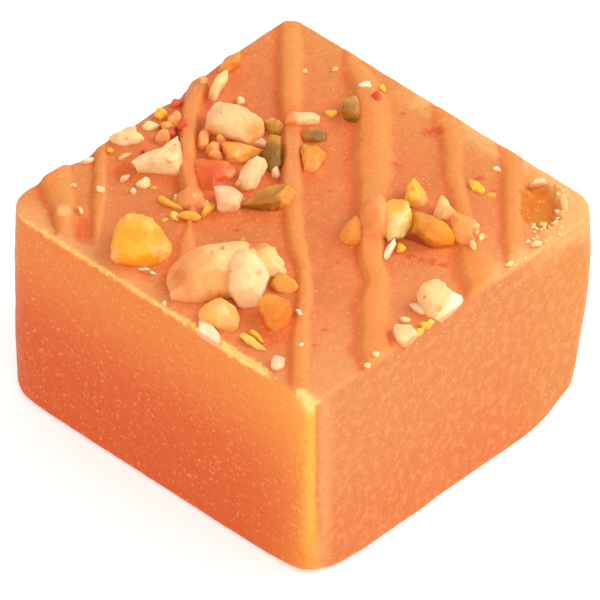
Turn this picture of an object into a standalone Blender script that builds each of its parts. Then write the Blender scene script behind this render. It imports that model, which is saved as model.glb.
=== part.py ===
"""A square of barfi: a slab of milk fudge, thick drizzle along one diagonal, chopped nuts on top.

The slab stands on z = 0 with its middle over the origin. Its four corners are called left,
back, right and front. The drizzle runs from the front corner to the back corner. Places on
the top face are given in millimetres across the drizzle and away along it. The outline of
each chopped piece is given as it is seen from three-quarter view, in millimetres right of
and above the middle of the top face, and is worked back onto the slab.
"""

import math
import random

import bmesh
import bpy
from mathutils import Vector

MM = 0.001

# Driving sizes of the slab, in millimetres
SLAB_X = 40.0
SLAB_Y = 38.5
SLAB_Z = 21.6
CORNERS = {
    "left": (-1, -1),
    "back": (-1, 1),
    "right": (1, 1),
    "front": (1, -1),
}
CORNER_ROUND = {"left": 3.3, "back": 2.0, "right": 2.6, "front": 0.6}
FRONT_FOOT_ROUND = 2.8
TOP_EDGE_ROUND = 0.4
WORN_EDGE_ROUND = 1.5
FOOT_EDGE_ROUND = 0.25
FRONT_FOOT_WEAR = 1.3
RIGHT_FOOT_WEAR = 1.8
LEFT_FOOT_WEAR = 0.4
RIGHT_LEAN = 1.8
TOP_WAVE = 0.12
TORN_PIT = {"across": 21.8, "away": 0.3, "long": 3.0, "wide": 2.2, "deep": 0.7}

# The slab's mesh: cells along a side of the plan and up the height
PLAN_CELLS = 20
HEIGHT_CELLS = 8

# The view that the outlines of the pieces are drawn in, in degrees
VIEW_TURN = 43.7
VIEW_RISE = 40.5

# How the pieces sit, in millimetres
CLEARANCE = 0.3
PRESSED_IN = 0.4
SIDE_MARGIN = 0.08

# Each stripe of drizzle: across, away and half width along its route
DRIZZLE_HEIGHT = 0.55
DRIZZLE_STEP = 2.2
STRIPES = [
    [(-22.0, 4.9, 1.2), (-22.4, 2.4, 1.4), (-22.1, 0.2, 1.3), (-22.0, -1.3, 0.9)],
    [(-18.7, 8.4, 0.6), (-18.6, 5.9, 0.6), (-18.6, 2.1, 0.7), (-18.7, -1.2, 0.6), (-18.9, -4.2, 0.5)],
    [(-9.7, 17.4, 0.9), (-9.8, 16.3, 1.1), (-10.4, 13.2, 0.8), (-10.6, 8.5, 0.7), (-10.5, 3.8, 0.6)],
    [(-1.1, 25.6, 1.0), (-1.1, 20.9, 1.2), (-1.1, 14.5, 1.2), (-1.0, 10.5, 0.7), (-1.0, 5.9, 1.0),
     (-0.8, 0.5, 0.8), (-0.3, -5.0, 0.7), (0.3, -9.0, 0.8), (0.3, -13.0, 0.8), (-0.1, -18.0, 0.9),
     (-0.1, -21.2, 1.0), (-0.2, -25.2, 0.8)],
    [(4.6, 21.1, 0.6), (5.5, 18.7, 1.4), (6.3, 15.2, 1.8), (6.6, 9.5, 1.9), (6.6, 3.8, 1.9),
     (6.4, -2.2, 1.7), (6.3, -7.7, 1.1), (7.0, -10.4, 1.3), (6.7, -13.3, 1.6), (6.6, -18.6, 1.6)],
    [(13.6, 12.2, 1.1), (13.9, 9.5, 1.1), (13.9, 4.5, 0.9), (14.6, 0.2, 0.9), (15.1, -4.0, 1.1),
     (16.1, -8.3, 2.0), (16.2, -9.6, 1.7)],
    [(19.4, 6.4, 0.8), (19.5, 1.0, 1.1), (19.4, -4.7, 1.0)],
]

# Each chopped piece that is a body of its own: node, colour, lean of its outline in degrees,
# bulge above the outline and depth below it in millimetres, and the outline
CREAM = (0.90, 0.72, 0.42)
COATED = (0.86, 0.42, 0.16)
YELLOW = (0.90, 0.52, 0.06)
OLIVE = (0.45, 0.26, 0.03)
GOLD = (0.80, 0.36, 0.04)
RED = (0.78, 0.16, 0.04)
PIECES = [
    ("cashew", CREAM, 24, 1.6, 1.8,
     [(-12.6, -6.9), (-12.4, -6.0), (-11.7, -5.0), (-10.6, -4.3), (-9.0, -3.9), (-6.5, -3.5), (-3.9, -3.4),
      (-2.8, -3.8), (-2.0, -4.7), (-1.5, -6.0), (-3.0, -6.8), (-6.5, -8.4), (-8.3, -8.7), (-10.6, -9.3),
      (-12.0, -8.9)]),
    ("cashew", CREAM, 30, 1.7, 1.5,
     [(-6.8, -5.1), (-6.4, -4.2), (-5.5, -4.0), (-4.3, -4.6), (-3.4, -5.4), (-3.0, -6.5), (-3.4, -7.6),
      (-4.1, -9.0), (-5.0, -9.4), (-5.9, -8.9), (-6.7, -7.9)]),
    ("yellow_nut", YELLOW, 28, 1.6, 1.6,
     [(-17.0, -1.8), (-16.2, -1.0), (-14.9, -0.8), (-13.9, -1.1), (-12.9, -2.4), (-11.8, -3.7), (-12.2, -5.1),
      (-13.3, -5.8), (-15.4, -5.8), (-17.0, -5.6), (-17.7, -4.7), (-17.4, -3.1)]),
    ("nut_chunk", CREAM, 26, 1.6, 1.4,
     [(-9.1, 6.9), (-8.8, 8.5), (-8.0, 9.4), (-6.7, 9.5), (-5.5, 9.1), (-4.6, 8.3), (-3.8, 7.9), (-3.4, 6.9),
      (-3.8, 5.9), (-5.2, 5.6), (-7.0, 6.3)]),
    ("nut_wedge", CREAM, 24, 1.3, 1.4,
     [(-15.9, 4.2), (-15.2, 4.7), (-13.0, 5.1), (-11.5, 6.3), (-11.1, 4.3), (-11.4, 2.0), (-13.5, 2.2),
      (-15.3, 3.0)]),
    ("almond", CREAM, 26, 0.9, 0.9,
     [(-6.1, 2.0), (-5.7, 3.3), (-5.0, 4.2), (-4.2, 4.6), (-3.5, 4.3), (-3.2, 3.7), (-3.8, 2.5), (-4.3, 1.5),
      (-5.0, 1.2), (-5.8, 1.5)]),
    ("peach_nut", CREAM, 26, 0.9, 0.9,
     [(-8.2, 1.7), (-7.4, 1.9), (-6.6, 1.8), (-5.5, 1.0), (-5.8, -0.3), (-6.3, -0.9), (-7.3, -0.9),
      (-7.9, -0.4), (-8.0, 0.7)]),
    ("coated_lump", COATED, 22, 0.9, 0.9,
     [(-11.7, 0.7), (-10.7, 1.5), (-10.1, 1.9), (-9.5, 1.5), (-8.8, 0.2), (-9.4, -0.5), (-10.8, -0.5),
      (-11.6, 0.0)]),
    ("candied_red", RED, 14, 0.8, 0.8,
     [(-10.1, 3.9), (-9.7, 4.5), (-8.2, 4.3), (-7.0, 3.9), (-6.0, 3.2), (-6.6, 2.1), (-8.2, 1.5), (-9.0, 1.2),
      (-9.7, 2.5)]),
    ("candied_orange", GOLD, 14, 0.7, 0.7,
     [(-7.5, 5.9), (-6.1, 5.9), (-4.6, 5.4), (-3.5, 5.2), (-4.1, 4.6), (-5.5, 4.0), (-6.5, 3.4), (-7.0, 4.0)]),
    ("olive_top", OLIVE, 18, 0.7, 0.7,
     [(-3.7, 8.0), (-2.8, 8.1), (-1.9, 7.6), (-1.7, 7.0), (-2.1, 6.4), (-3.0, 6.5), (-3.4, 7.2)]),
    ("pistachio_dark", OLIVE, 22, 0.8, 0.8,
     [(-3.0, 6.5), (-2.0, 6.3), (-2.0, 3.9), (-2.7, 2.7), (-3.3, 3.4), (-3.6, 4.6), (-3.4, 5.6)]),
    ("pistachio_wedge", OLIVE, 30, 0.9, 0.9,
     [(-5.6, -0.1), (-4.4, 1.0), (-3.0, 1.8), (-2.0, 2.1), (-0.3, 1.5), (-0.3, 0.8), (-1.2, -0.4),
      (-2.3, -0.7), (-3.7, -0.6)]),
    ("cream_nut", CREAM, 22, 0.7, 0.8,
     [(-1.8, 7.4), (-1.5, 8.3), (-1.0, 8.8), (0.0, 8.8), (1.6, 8.3), (1.4, 7.6), (0.2, 7.3), (-0.9, 7.1)]),
    ("olive_lens", OLIVE, 18, 0.7, 0.7,
     [(-0.3, 6.3), (0.1, 7.1), (1.2, 7.2), (2.1, 6.8), (2.2, 6.1), (1.4, 5.7), (0.2, 5.9)]),
    ("pistachio_yellow", YELLOW, 20, 0.7, 0.8,
     [(-0.2, 5.9), (0.9, 5.7), (2.3, 5.1), (1.7, 3.9), (1.2, 2.7), (0.2, 2.7), (-0.1, 3.9)]),
    ("pistachio_back", OLIVE, 24, 0.8, 0.8,
     [(3.7, 9.6), (4.0, 10.3), (4.7, 10.5), (5.3, 9.5), (5.3, 8.3), (4.8, 7.5), (3.9, 7.8), (3.7, 8.7)]),
    ("candied_wedge", GOLD, 26, 1.0, 1.0,
     [(-4.1, -8.9), (-3.4, -8.2), (-2.2, -8.3), (-1.0, -9.0), (-1.0, -10.3), (-1.2, -11.5), (-2.2, -11.8),
      (-3.2, -11.2), (-3.7, -10.2)]),
    ("faceted_nut", YELLOW, 24, 1.1, 1.1,
     [(-9.6, -9.7), (-8.9, -9.0), (-7.4, -8.6), (-6.1, -9.3), (-5.6, -10.3), (-5.8, -11.4), (-6.4, -11.9),
      (-7.4, -11.7), (-8.3, -10.7), (-9.5, -10.6)]),
    ("white_sliver", CREAM, 4, 0.5, 0.6,
     [(-9.5, -10.4), (-8.7, -10.4), (-8.1, -11.2), (-7.4, -12.3), (-7.5, -12.8), (-8.4, -12.5),
      (-9.3, -11.9)]),
    ("cream_kernel", CREAM, 32, 1.2, 1.1,
     [(7.2, -0.9), (7.5, 0.1), (8.7, 0.6), (9.6, 0.3), (9.9, -0.8), (10.1, -2.1), (9.0, -2.9), (7.9, -3.2),
      (7.4, -2.3)]),
    ("yellow_kernel", YELLOW, 28, 0.9, 0.9,
     [(9.3, -0.1), (9.4, 1.4), (9.7, 2.1), (10.2, 2.5), (10.9, 1.8), (11.6, 0.7), (11.5, -0.1), (10.9, -0.4),
      (10.1, -0.1)]),
    ("pistachio_orange", GOLD, 20, 0.9, 0.9,
     [(3.4, -3.0), (3.9, -1.8), (5.0, -0.9), (5.9, -1.4), (6.4, -2.7), (5.9, -3.7), (5.2, -3.9),
      (4.2, -3.6)]),
    ("pistachio_gold", GOLD, 26, 1.2, 1.1,
     [(9.3, -2.9), (10.0, -1.7), (10.1, -0.5), (11.2, -0.6), (12.2, -1.1), (13.4, -1.8), (14.1, -2.9),
      (13.8, -3.6), (12.4, -3.7), (11.2, -4.0), (10.1, -3.6)]),
    ("cream_blade", CREAM, 32, 0.6, 0.6,
     [(12.2, -1.0), (12.5, 0.1), (12.9, 0.9), (13.5, 0.2), (13.8, -0.5), (13.5, -1.5), (12.8, -1.4)]),
    ("coated_nut", COATED, 22, 0.9, 0.9,
     [(13.5, -1.6), (13.9, -0.4), (14.8, -0.9), (15.9, -1.5), (16.0, -2.0), (15.7, -3.4), (15.3, -4.0),
      (14.6, -3.6), (13.8, -2.9)]),
    ("white_nut", CREAM, 30, 1.0, 1.2,
     [(10.3, -8.4), (10.7, -7.6), (11.8, -6.8), (12.8, -6.7), (13.4, -7.7), (14.2, -8.1), (14.6, -8.6),
      (12.8, -10.4), (11.6, -10.3), (10.7, -9.6)]),
    ("cream_piece", CREAM, 20, 0.7, 0.8,
     [(8.2, -11.7), (8.5, -10.9), (8.8, -10.7), (9.9, -11.0), (10.7, -11.8), (10.5, -12.5), (9.1, -12.7),
      (8.5, -12.3)]),
    ("edge_nut", CREAM, 16, 0.7, 0.8,
     [(-17.8, 6.3), (-16.7, 7.0), (-15.6, 7.5), (-15.3, 6.6), (-14.6, 6.1), (-14.7, 5.4), (-16.4, 5.3),
      (-17.3, 5.6)]),
    ("edge_blade", CREAM, 26, 0.7, 0.7,
     [(-8.9, 9.9), (-8.7, 10.6), (-7.9, 12.1), (-7.0, 12.6), (-7.0, 11.7), (-7.7, 10.5), (-8.4, 9.8)]),
    ("edge_orange", GOLD, 20, 0.7, 0.7,
     [(-7.9, 12.9), (-7.4, 13.5), (-6.8, 14.1), (-5.7, 14.3), (-5.8, 13.4), (-6.6, 12.9), (-7.4, 12.8)]),
]

# Small bits fused to the slab: right, above, half width and half height as seen, and height
BITS = [
    (-5.8, 9.9, 0.5, 0.4, 0.5), (-14.2, 7.3, 0.9, 0.5, 0.5), (-8.6, 5.7, 1.0, 0.9, 0.8),
    (-12.2, -0.1, 1.3, 0.5, 0.5), (-8.9, -0.9, 0.8, 0.6, 0.5), (-12.0, -1.2, 0.6, 0.5, 0.5),
    (-14.8, 1.8, 0.7, 0.5, 0.6), (-1.7, -7.3, 1.1, 0.8, 0.8), (-4.4, -12.8, 1.2, 0.5, 0.5),
    (-2.2, -14.4, 0.8, 0.7, 0.6), (16.4, -3.1, 0.4, 0.5, 0.5), (7.7, -4.6, 0.5, 0.8, 0.5),
    (9.2, -4.6, 0.5, 0.5, 0.5), (16.1, 1.6, 0.8, 0.6, 0.5), (17.7, 0.9, 0.6, 0.4, 0.4),
    (-16.6, 3.5, 0.6, 1.1, 0.5), (-12.9, 7.0, 0.6, 0.6, 0.6), (-11.9, 8.4, 0.6, 0.6, 0.7),
    (6.9, 10.1, 0.6, 0.7, 0.9), (5.8, 11.2, 0.6, 0.4, 0.7), (2.6, 8.9, 0.6, 0.4, 0.5),
    (9.4, -9.9, 0.5, 0.4, 0.4), (-9.6, 11.4, 0.9, 0.8, 1.1), (24.0, 1.0, 0.7, 0.6, 0.6),
    (22.4, 2.1, 0.8, 0.4, 0.5), (24.4, -0.6, 0.6, 0.5, 0.5), (18.9, -5.4, 0.7, 0.4, 0.4),
    (21.6, -3.3, 0.7, 0.4, 0.4), (-20.9, 0.9, 0.7, 0.5, 0.9),
]
BIT_SEED = 11
BIT_POINTS = 16

TURN = math.radians(VIEW_TURN)
RISE = math.radians(VIEW_RISE)
RIGHT = Vector((math.cos(TURN), math.sin(TURN), 0.0))
AWAY = Vector((-math.sin(TURN), math.cos(TURN), 0.0))
UP = Vector((0.0, 0.0, 1.0))
HALF_X = SLAB_X / 2
HALF_Y = SLAB_Y / 2


def clear_scene():
    """Remove every object, mesh and collection that is in the file."""
    for item in list(bpy.data.objects):
        bpy.data.objects.remove(item, do_unlink=True)
    for mesh in list(bpy.data.meshes):
        bpy.data.meshes.remove(mesh)
    for group in list(bpy.data.collections):
        bpy.data.collections.remove(group)


def material(name, colour, roughness):
    """A plain material with one colour."""
    made = bpy.data.materials.new(name)
    made.use_nodes = True
    shader = made.node_tree.nodes["Principled BSDF"]
    shader.inputs["Base Color"].default_value = (*colour, 1.0)
    shader.inputs["Roughness"].default_value = roughness
    shader.inputs["Metallic"].default_value = 0.0
    return made


def add_object(name, mesh, group):
    """Put a mesh in the scene as an object of a collection."""
    item = bpy.data.objects.new(name, mesh)
    group.objects.link(item)
    return item


def smooth_step(value):
    """Ease from 0 to 1."""
    value = min(1.0, max(0.0, value))
    return value * value * (3.0 - 2.0 * value)


def near_corner(name, x, y, reach):
    """1 at a corner of the plan, falling to 0 at a distance from it."""
    side_x, side_y = CORNERS[name]
    distance = math.hypot(x - side_x * HALF_X, y - side_y * HALF_Y)
    return smooth_step(1.0 - distance / reach)


def corner_radius(x, y, z):
    """The round of the upright edge nearest to a point; the front one widens at its foot."""
    for name, (side_x, side_y) in CORNERS.items():
        if side_x * x >= 0 and side_y * y >= 0:
            radius = CORNER_ROUND[name]
            if name == "front":
                radius += (FRONT_FOOT_ROUND - radius) * smooth_step(1.0 - 2.0 * z / SLAB_Z)
            return radius
    return TOP_EDGE_ROUND


def round_plan(x, y, z):
    """Move a point of a sharp-cornered plan onto the rounded one; gives it and the way out."""
    radius = corner_radius(x, y, z)
    core_x = max(-HALF_X + radius, min(HALF_X - radius, x))
    core_y = max(-HALF_Y + radius, min(HALF_Y - radius, y))
    out_x = x - core_x
    out_y = y - core_y
    span = math.hypot(out_x, out_y)
    if span > 0 and out_x and out_y:
        reach = max(abs(out_x), abs(out_y))
        ux = out_x / span
        uy = out_y / span
        return core_x + ux * reach, core_y + uy * reach, ux, uy
    if HALF_X - abs(x) < HALF_Y - abs(y):
        return x, y, math.copysign(1.0, x), 0.0
    return x, y, 0.0, math.copysign(1.0, y)


def edge_round(x, y, top):
    """The round of the top or bottom edge near a point of the plan."""
    if top:
        on_back_left = smooth_step((-x - HALF_X + 3.0) / 3.0)
        middle = smooth_step(1.0 - abs(y + 1.0) / 19.0)
        return TOP_EDGE_ROUND + (WORN_EDGE_ROUND - TOP_EDGE_ROUND) * on_back_left * middle
    foot = FOOT_EDGE_ROUND
    foot += (FRONT_FOOT_WEAR - FOOT_EDGE_ROUND) * near_corner("front", x, y, 8.0)
    foot += (RIGHT_FOOT_WEAR - FOOT_EDGE_ROUND) * near_corner("right", x, y, 7.0)
    foot += (LEFT_FOOT_WEAR - FOOT_EDGE_ROUND) * near_corner("left", x, y, 8.0)
    return foot


def round_edge(inset, drop, radius):
    """Carry a point of a square edge onto an arc; both measures are taken from the edge."""
    if inset >= radius or drop >= radius:
        return inset, drop
    angle = math.pi / 4 * (1.0 + (drop - inset) / radius)
    return radius * (1.0 - math.sin(angle)), radius * (1.0 - math.cos(angle))


def slab_point(s, t, w):
    """A point of the slab's skin, from a place on the skin of the cube from -1 to 1."""
    x = s * HALF_X
    y = t * HALF_Y
    z = (w + 1.0) / 2.0 * SLAB_Z
    px, py, out_x, out_y = round_plan(x, y, z)
    inset = min(HALF_X - abs(x), HALF_Y - abs(y))
    top = z > SLAB_Z / 2
    drop = SLAB_Z - z if top else z
    new_inset, new_drop = round_edge(inset, drop, edge_round(x, y, top))
    px -= out_x * (new_inset - inset)
    py -= out_y * (new_inset - inset)
    z = SLAB_Z - new_drop if top else new_drop
    lean = RIGHT_LEAN * (1.0 - z / SLAB_Z) ** 1.7 * near_corner("right", x, y, 11.0)
    px -= lean * RIGHT.x
    py -= lean * RIGHT.y
    if top and new_drop < 0.5:
        z += top_relief(px, py) * (1.0 - new_drop / 0.5)
    return Vector((px, py, z))


def top_relief(x, y):
    """The rise and fall of the top face, and the torn pit by the right corner."""
    place = Vector((x, y, 0.0))
    across = place.dot(RIGHT)
    away = place.dot(AWAY)
    wave = math.sin(x * 0.31 + 1.0) * math.cos(y * 0.27) + 0.6 * math.sin(across * 0.83 + away * 0.19)
    pit_across = (across - TORN_PIT["across"]) / TORN_PIT["wide"]
    pit_away = (away - TORN_PIT["away"]) / TORN_PIT["long"]
    pit = TORN_PIT["deep"] * smooth_step(1.3 - math.hypot(pit_across, pit_away))
    fade = smooth_step(min(HALF_X - abs(x), HALF_Y - abs(y)) / 3.0)
    return TOP_WAVE * wave * fade - pit


def crowded(value):
    """Move evenly spaced places from -1 to 1 closer together at the ends."""
    return math.sin(value * 1.36) / math.sin(1.36)


def cube_grid(cells_plan, cells_height):
    """A cube from -1 to 1 whose sides are divided into a grid, crowded towards the edges."""
    grid = bmesh.new()
    bmesh.ops.create_cube(grid, size=2.0)
    for axis, cells in ((0, cells_plan), (1, cells_plan), (2, cells_height)):
        along = [e for e in grid.edges
                 if abs(e.verts[0].co[axis] - e.verts[1].co[axis]) > 1.0]
        bmesh.ops.subdivide_edges(grid, edges=along, cuts=cells - 1, use_grid_fill=True)
    for vert in grid.verts:
        vert.co = Vector([crowded(c) for c in vert.co])
    return grid


def slab_mesh():
    """The plain slab, before anything lies on it."""
    grid = cube_grid(PLAN_CELLS, HEIGHT_CELLS)
    for vert in grid.verts:
        vert.co = slab_point(*vert.co) * MM
    bmesh.ops.dissolve_limit(grid, angle_limit=math.radians(0.15), verts=grid.verts[:], edges=grid.edges[:])
    bmesh.ops.triangulate(grid, faces=grid.faces[:])
    bmesh.ops.recalc_face_normals(grid, faces=grid.faces[:])
    mesh = bpy.data.meshes.new("slab")
    grid.to_mesh(mesh)
    grid.free()
    return mesh


def on_top(across, away, height=0.0):
    """A point over the top face, in millimetres."""
    place = RIGHT * across + AWAY * away
    place.z = SLAB_Z + height
    return place


def side_planes(margin):
    """The slab's four sides, each as a point and the way out, moved in by a margin."""
    for side_x, side_y in ((1, 0), (-1, 0), (0, 1), (0, -1)):
        place = Vector((side_x * (HALF_X - margin), side_y * (HALF_Y - margin), 0.0))
        yield place, Vector((side_x, side_y, 0.0))


def spline_through(points, step):
    """Points about a step apart on a smooth curve through the given ones."""
    ends = [points[0]] + list(points) + [points[-1]]
    found = []
    for index in range(1, len(ends) - 2):
        p0, p1, p2, p3 = (Vector(p) for p in ends[index - 1:index + 3])
        pieces = max(1, round((p2 - p1).length / step))
        for part in range(pieces):
            t = part / pieces
            found.append(0.5 * (2 * p1 + (p2 - p0) * t + (2 * p0 - 5 * p1 + 4 * p2 - p3) * t * t
                                + (3 * p1 - p0 - 3 * p2 + p3) * t ** 3))
    found.append(Vector(points[-1]))
    return found


def stripe_object(index, route, group):
    """One stripe of drizzle: a flattened round bar, half sunk in the slab."""
    curve = bpy.data.curves.new(f"stripe_{index}", "CURVE")
    curve.dimensions = "3D"
    curve.bevel_depth = MM
    curve.bevel_resolution = 2
    curve.use_fill_caps = True
    points = spline_through(route, DRIZZLE_STEP)
    points.insert(0, points[0] + (points[0] - points[1]).normalized() * 0.5)
    points.append(points[-1] + (points[-1] - points[-2]).normalized() * 0.5)
    spline = curve.splines.new("POLY")
    spline.points.add(len(points) - 1)
    for number, (across, away, half) in enumerate(points):
        place = on_top(across, away) * MM
        spline.points[number].co = (*place, 1.0)
        spline.points[number].radius = half * (0.45 if number in (0, len(points) - 1) else 1.0)
    bar = add_object(f"stripe_curve_{index}", curve, group)
    bpy.context.view_layer.update()
    evaluated = bar.evaluated_get(bpy.context.evaluated_depsgraph_get())
    mesh = bpy.data.meshes.new_from_object(evaluated)
    bpy.data.objects.remove(bar)
    shell = bmesh.new()
    shell.from_mesh(mesh)
    bmesh.ops.remove_doubles(shell, verts=shell.verts[:], dist=1e-6)
    widest = max(half for across, away, half in route)
    for vert in shell.verts:
        vert.co.z = SLAB_Z * MM + (vert.co.z - SLAB_Z * MM) * DRIZZLE_HEIGHT / widest
    for place, way in side_planes(SIDE_MARGIN):
        cut = bmesh.ops.bisect_plane(shell, geom=shell.verts[:] + shell.edges[:] + shell.faces[:], dist=1e-7,
                                     plane_co=place * MM, plane_no=way, clear_outer=True)
        rim = [e for e in cut["geom_cut"] if isinstance(e, bmesh.types.BMEdge)]
        if rim:
            bmesh.ops.contextual_create(shell, geom=rim)
    bmesh.ops.recalc_face_normals(shell, faces=shell.faces[:])
    shell.to_mesh(mesh)
    shell.free()
    return add_object(f"stripe_{index}", mesh, group)


def hull_bmesh(points):
    """The convex hull of some points as a bmesh."""
    shell = bmesh.new()
    for point in points:
        shell.verts.new(point)
    made = bmesh.ops.convex_hull(shell, input=shell.verts[:])
    unused = {v for v in made["geom_interior"] + made["geom_unused"] if isinstance(v, bmesh.types.BMVert)}
    bmesh.ops.delete(shell, geom=list(unused), context="VERTS")
    loose = [v for v in shell.verts if not v.link_faces]
    bmesh.ops.delete(shell, geom=loose, context="VERTS")
    bmesh.ops.recalc_face_normals(shell, faces=shell.faces[:])
    return shell


def hull_object(name, points, group):
    """An object whose mesh is the convex hull of points in millimetres."""
    shell = hull_bmesh([p * MM for p in points])
    mesh = bpy.data.meshes.new(name)
    shell.to_mesh(mesh)
    shell.free()
    return add_object(name, mesh, group)


def clipped(points, place, way_out):
    """The corners of a hull after all beyond a plane is cut away."""
    shell = hull_bmesh(points)
    bmesh.ops.bisect_plane(shell, geom=shell.verts[:] + shell.edges[:] + shell.faces[:], dist=1e-5,
                           plane_co=place, plane_no=way_out, clear_outer=True)
    kept = [v.co.copy() for v in shell.verts]
    shell.free()
    return kept


def piece_points(lean, bulge, depth, outline):
    """The points whose hull is one chopped piece, seated on the slab and trimmed to it."""
    tilt = math.radians(lean)
    middle_right = sum(p[0] for p in outline) / len(outline)
    middle_up = sum(p[1] for p in outline) / len(outline)
    stretch = 1.0 / math.sin(RISE + tilt)
    rim = [(right - middle_right, (up - middle_up) * stretch) for right, up in outline]
    lift = -min(b for a, b in rim) * math.sin(tilt)
    away = (middle_up - lift * math.cos(RISE)) / math.sin(RISE)
    middle = on_top(middle_right, away, lift)
    lean_way = AWAY * math.cos(tilt) + UP * math.sin(tilt)
    normal = UP * math.cos(tilt) - AWAY * math.sin(tilt)
    points = []
    for size, height in ((0.75, -depth), (1.0, 0.0), (0.84, 0.6 * bulge), (0.5, bulge)):
        for a, b in rim:
            points.append(middle + RIGHT * a * size + lean_way * b * size + normal * height)
    points = clipped(points, Vector((0, 0, SLAB_Z - PRESSED_IN)), -UP)
    for place, way in side_planes(SIDE_MARGIN):
        points = clipped(points, place, way)
    return points


def sphere_directions(count):
    """Directions spread evenly over a sphere."""
    golden = math.pi * (3.0 - math.sqrt(5.0))
    for index in range(count):
        z = 1.0 - 2.0 * (index + 0.5) / count
        flat = math.sqrt(1.0 - z * z)
        yield Vector((flat * math.cos(golden * index), flat * math.sin(golden * index), z))


def keep_apart(first, second, directions):
    """Trim two hulls along the plane where they overlap least, leaving the clearance."""
    best_gap = None
    best_way = None
    for way in directions:
        gap = min(p.dot(way) for p in second) - max(p.dot(way) for p in first)
        if best_gap is None or gap > best_gap:
            best_gap = gap
            best_way = way
    if best_gap >= CLEARANCE:
        return first, second
    level = (min(p.dot(best_way) for p in second) + max(p.dot(best_way) for p in first)) / 2.0
    first = clipped(first, best_way * (level - CLEARANCE / 2), best_way)
    second = clipped(second, best_way * (level + CLEARANCE / 2), -best_way)
    return first, second


def separated_hulls():
    """Every chopped piece as (node, colour, points), none closer to another than the clearance."""
    hulls = [[node, colour, piece_points(lean, bulge, depth, outline)]
             for node, colour, lean, bulge, depth, outline in PIECES]
    directions = list(sphere_directions(240))
    for i, first in enumerate(hulls):
        for second in hulls[i + 1:]:
            if first[0] != second[0]:
                first[2], second[2] = keep_apart(first[2], second[2], directions)
    return hulls


def grown(points, margin):
    """Points whose hull holds the given hull with a margin all round."""
    spread = []
    for point in points:
        for axis in range(3):
            for side in (-margin, margin):
                moved = point.copy()
                moved[axis] += side * 1.5
                spread.append(moved)
    return spread


def bit_points(right, above, half_right, half_above, height, draw):
    """Points whose hull is one small bit, half sunk in the slab."""
    away = (above - 0.3 * height * math.cos(RISE)) / math.sin(RISE)
    middle = on_top(right, away)
    half_away = half_above / math.sin(RISE) * 0.85
    points = []
    for index in range(BIT_POINTS):
        turn = 2.0 * math.pi * (index * 0.618)
        level = 1.0 - 2.0 * (index + 0.5) / BIT_POINTS
        flat = math.sqrt(1.0 - level * level) * draw.uniform(0.8, 1.15)
        points.append(middle + RIGHT * half_right * flat * math.cos(turn)
                      + AWAY * half_away * flat * math.sin(turn) + UP * height * level)
    for place, way in side_planes(SIDE_MARGIN):
        points = clipped(points, place, way)
    return points


def apply_boolean(target, operation, group, solver):
    """Join a collection to an object or cut it away, then remove the collection's objects."""
    step = target.modifiers.new(operation.lower(), "BOOLEAN")
    step.operation = operation
    step.operand_type = "COLLECTION"
    step.collection = group
    step.solver = solver
    bpy.context.view_layer.update()
    evaluated = target.evaluated_get(bpy.context.evaluated_depsgraph_get())
    mesh = bpy.data.meshes.new_from_object(evaluated)
    target.modifiers.remove(step)
    target.data = mesh
    for item in list(group.objects):
        bpy.data.objects.remove(item, do_unlink=True)


def tidy_shell(item):
    """Weld an object's mesh, drop slivers and keep only its largest closed shell."""
    shell = bmesh.new()
    shell.from_mesh(item.data)
    bmesh.ops.remove_doubles(shell, verts=shell.verts[:], dist=2e-6)
    bmesh.ops.dissolve_degenerate(shell, dist=2e-6, edges=shell.edges[:])
    bmesh.ops.triangulate(shell, faces=[f for f in shell.faces if len(f.verts) > 3])
    groups = []
    waiting = set(shell.verts)
    while waiting:
        found = [waiting.pop()]
        for vert in found:
            for edge in vert.link_edges:
                other = edge.other_vert(vert)
                if other in waiting:
                    waiting.discard(other)
                    found.append(other)
        groups.append(found)
    groups.sort(key=len)
    for scrap in groups[:-1]:
        bmesh.ops.delete(shell, geom=scrap, context="VERTS")
    shell.to_mesh(item.data)
    shell.free()


def main():
    """Build the slab with its drizzle and bits, and every chopped piece."""
    clear_scene()
    scene_group = bpy.context.scene.collection
    barfi = bpy.data.collections.new("barfi")
    toppings = bpy.data.collections.new("fused_toppings")
    pockets = bpy.data.collections.new("pockets")
    for group in (barfi, toppings, pockets):
        scene_group.children.link(group)

    slab = add_object("slab", slab_mesh(), barfi)
    slab.data.materials.append(material("fudge", (0.83, 0.25, 0.10), 0.5))
    for index, route in enumerate(STRIPES):
        stripe_object(index, route, toppings)
    draw = random.Random(BIT_SEED)
    for index, bit in enumerate(BITS):
        hull_object(f"bit_{index}", bit_points(*bit, draw), toppings)
    apply_boolean(slab, "UNION", toppings, "MANIFOLD")

    hulls = separated_hulls()
    made = {}
    for index, (node, colour, points) in enumerate(hulls):
        hull_object(f"pocket_{index}", grown(points, CLEARANCE), pockets)
        if node in made:
            hull_object(f"{node}_{index}", points, toppings)
            apply_boolean(made[node], "UNION", toppings, "MANIFOLD")
            tidy_shell(made[node])
        else:
            made[node] = hull_object(node, points, barfi)
        if not made[node].data.materials:
            made[node].data.materials.append(material(node, colour, 0.45))
    apply_boolean(slab, "DIFFERENCE", pockets, "MANIFOLD")
    tidy_shell(slab)
    for group in (toppings, pockets):
        bpy.data.collections.remove(group)


main()
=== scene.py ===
"""The looks of a square of barfi: fudge, thick drizzle, chopped nuts, crumbs, light and camera."""

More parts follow.
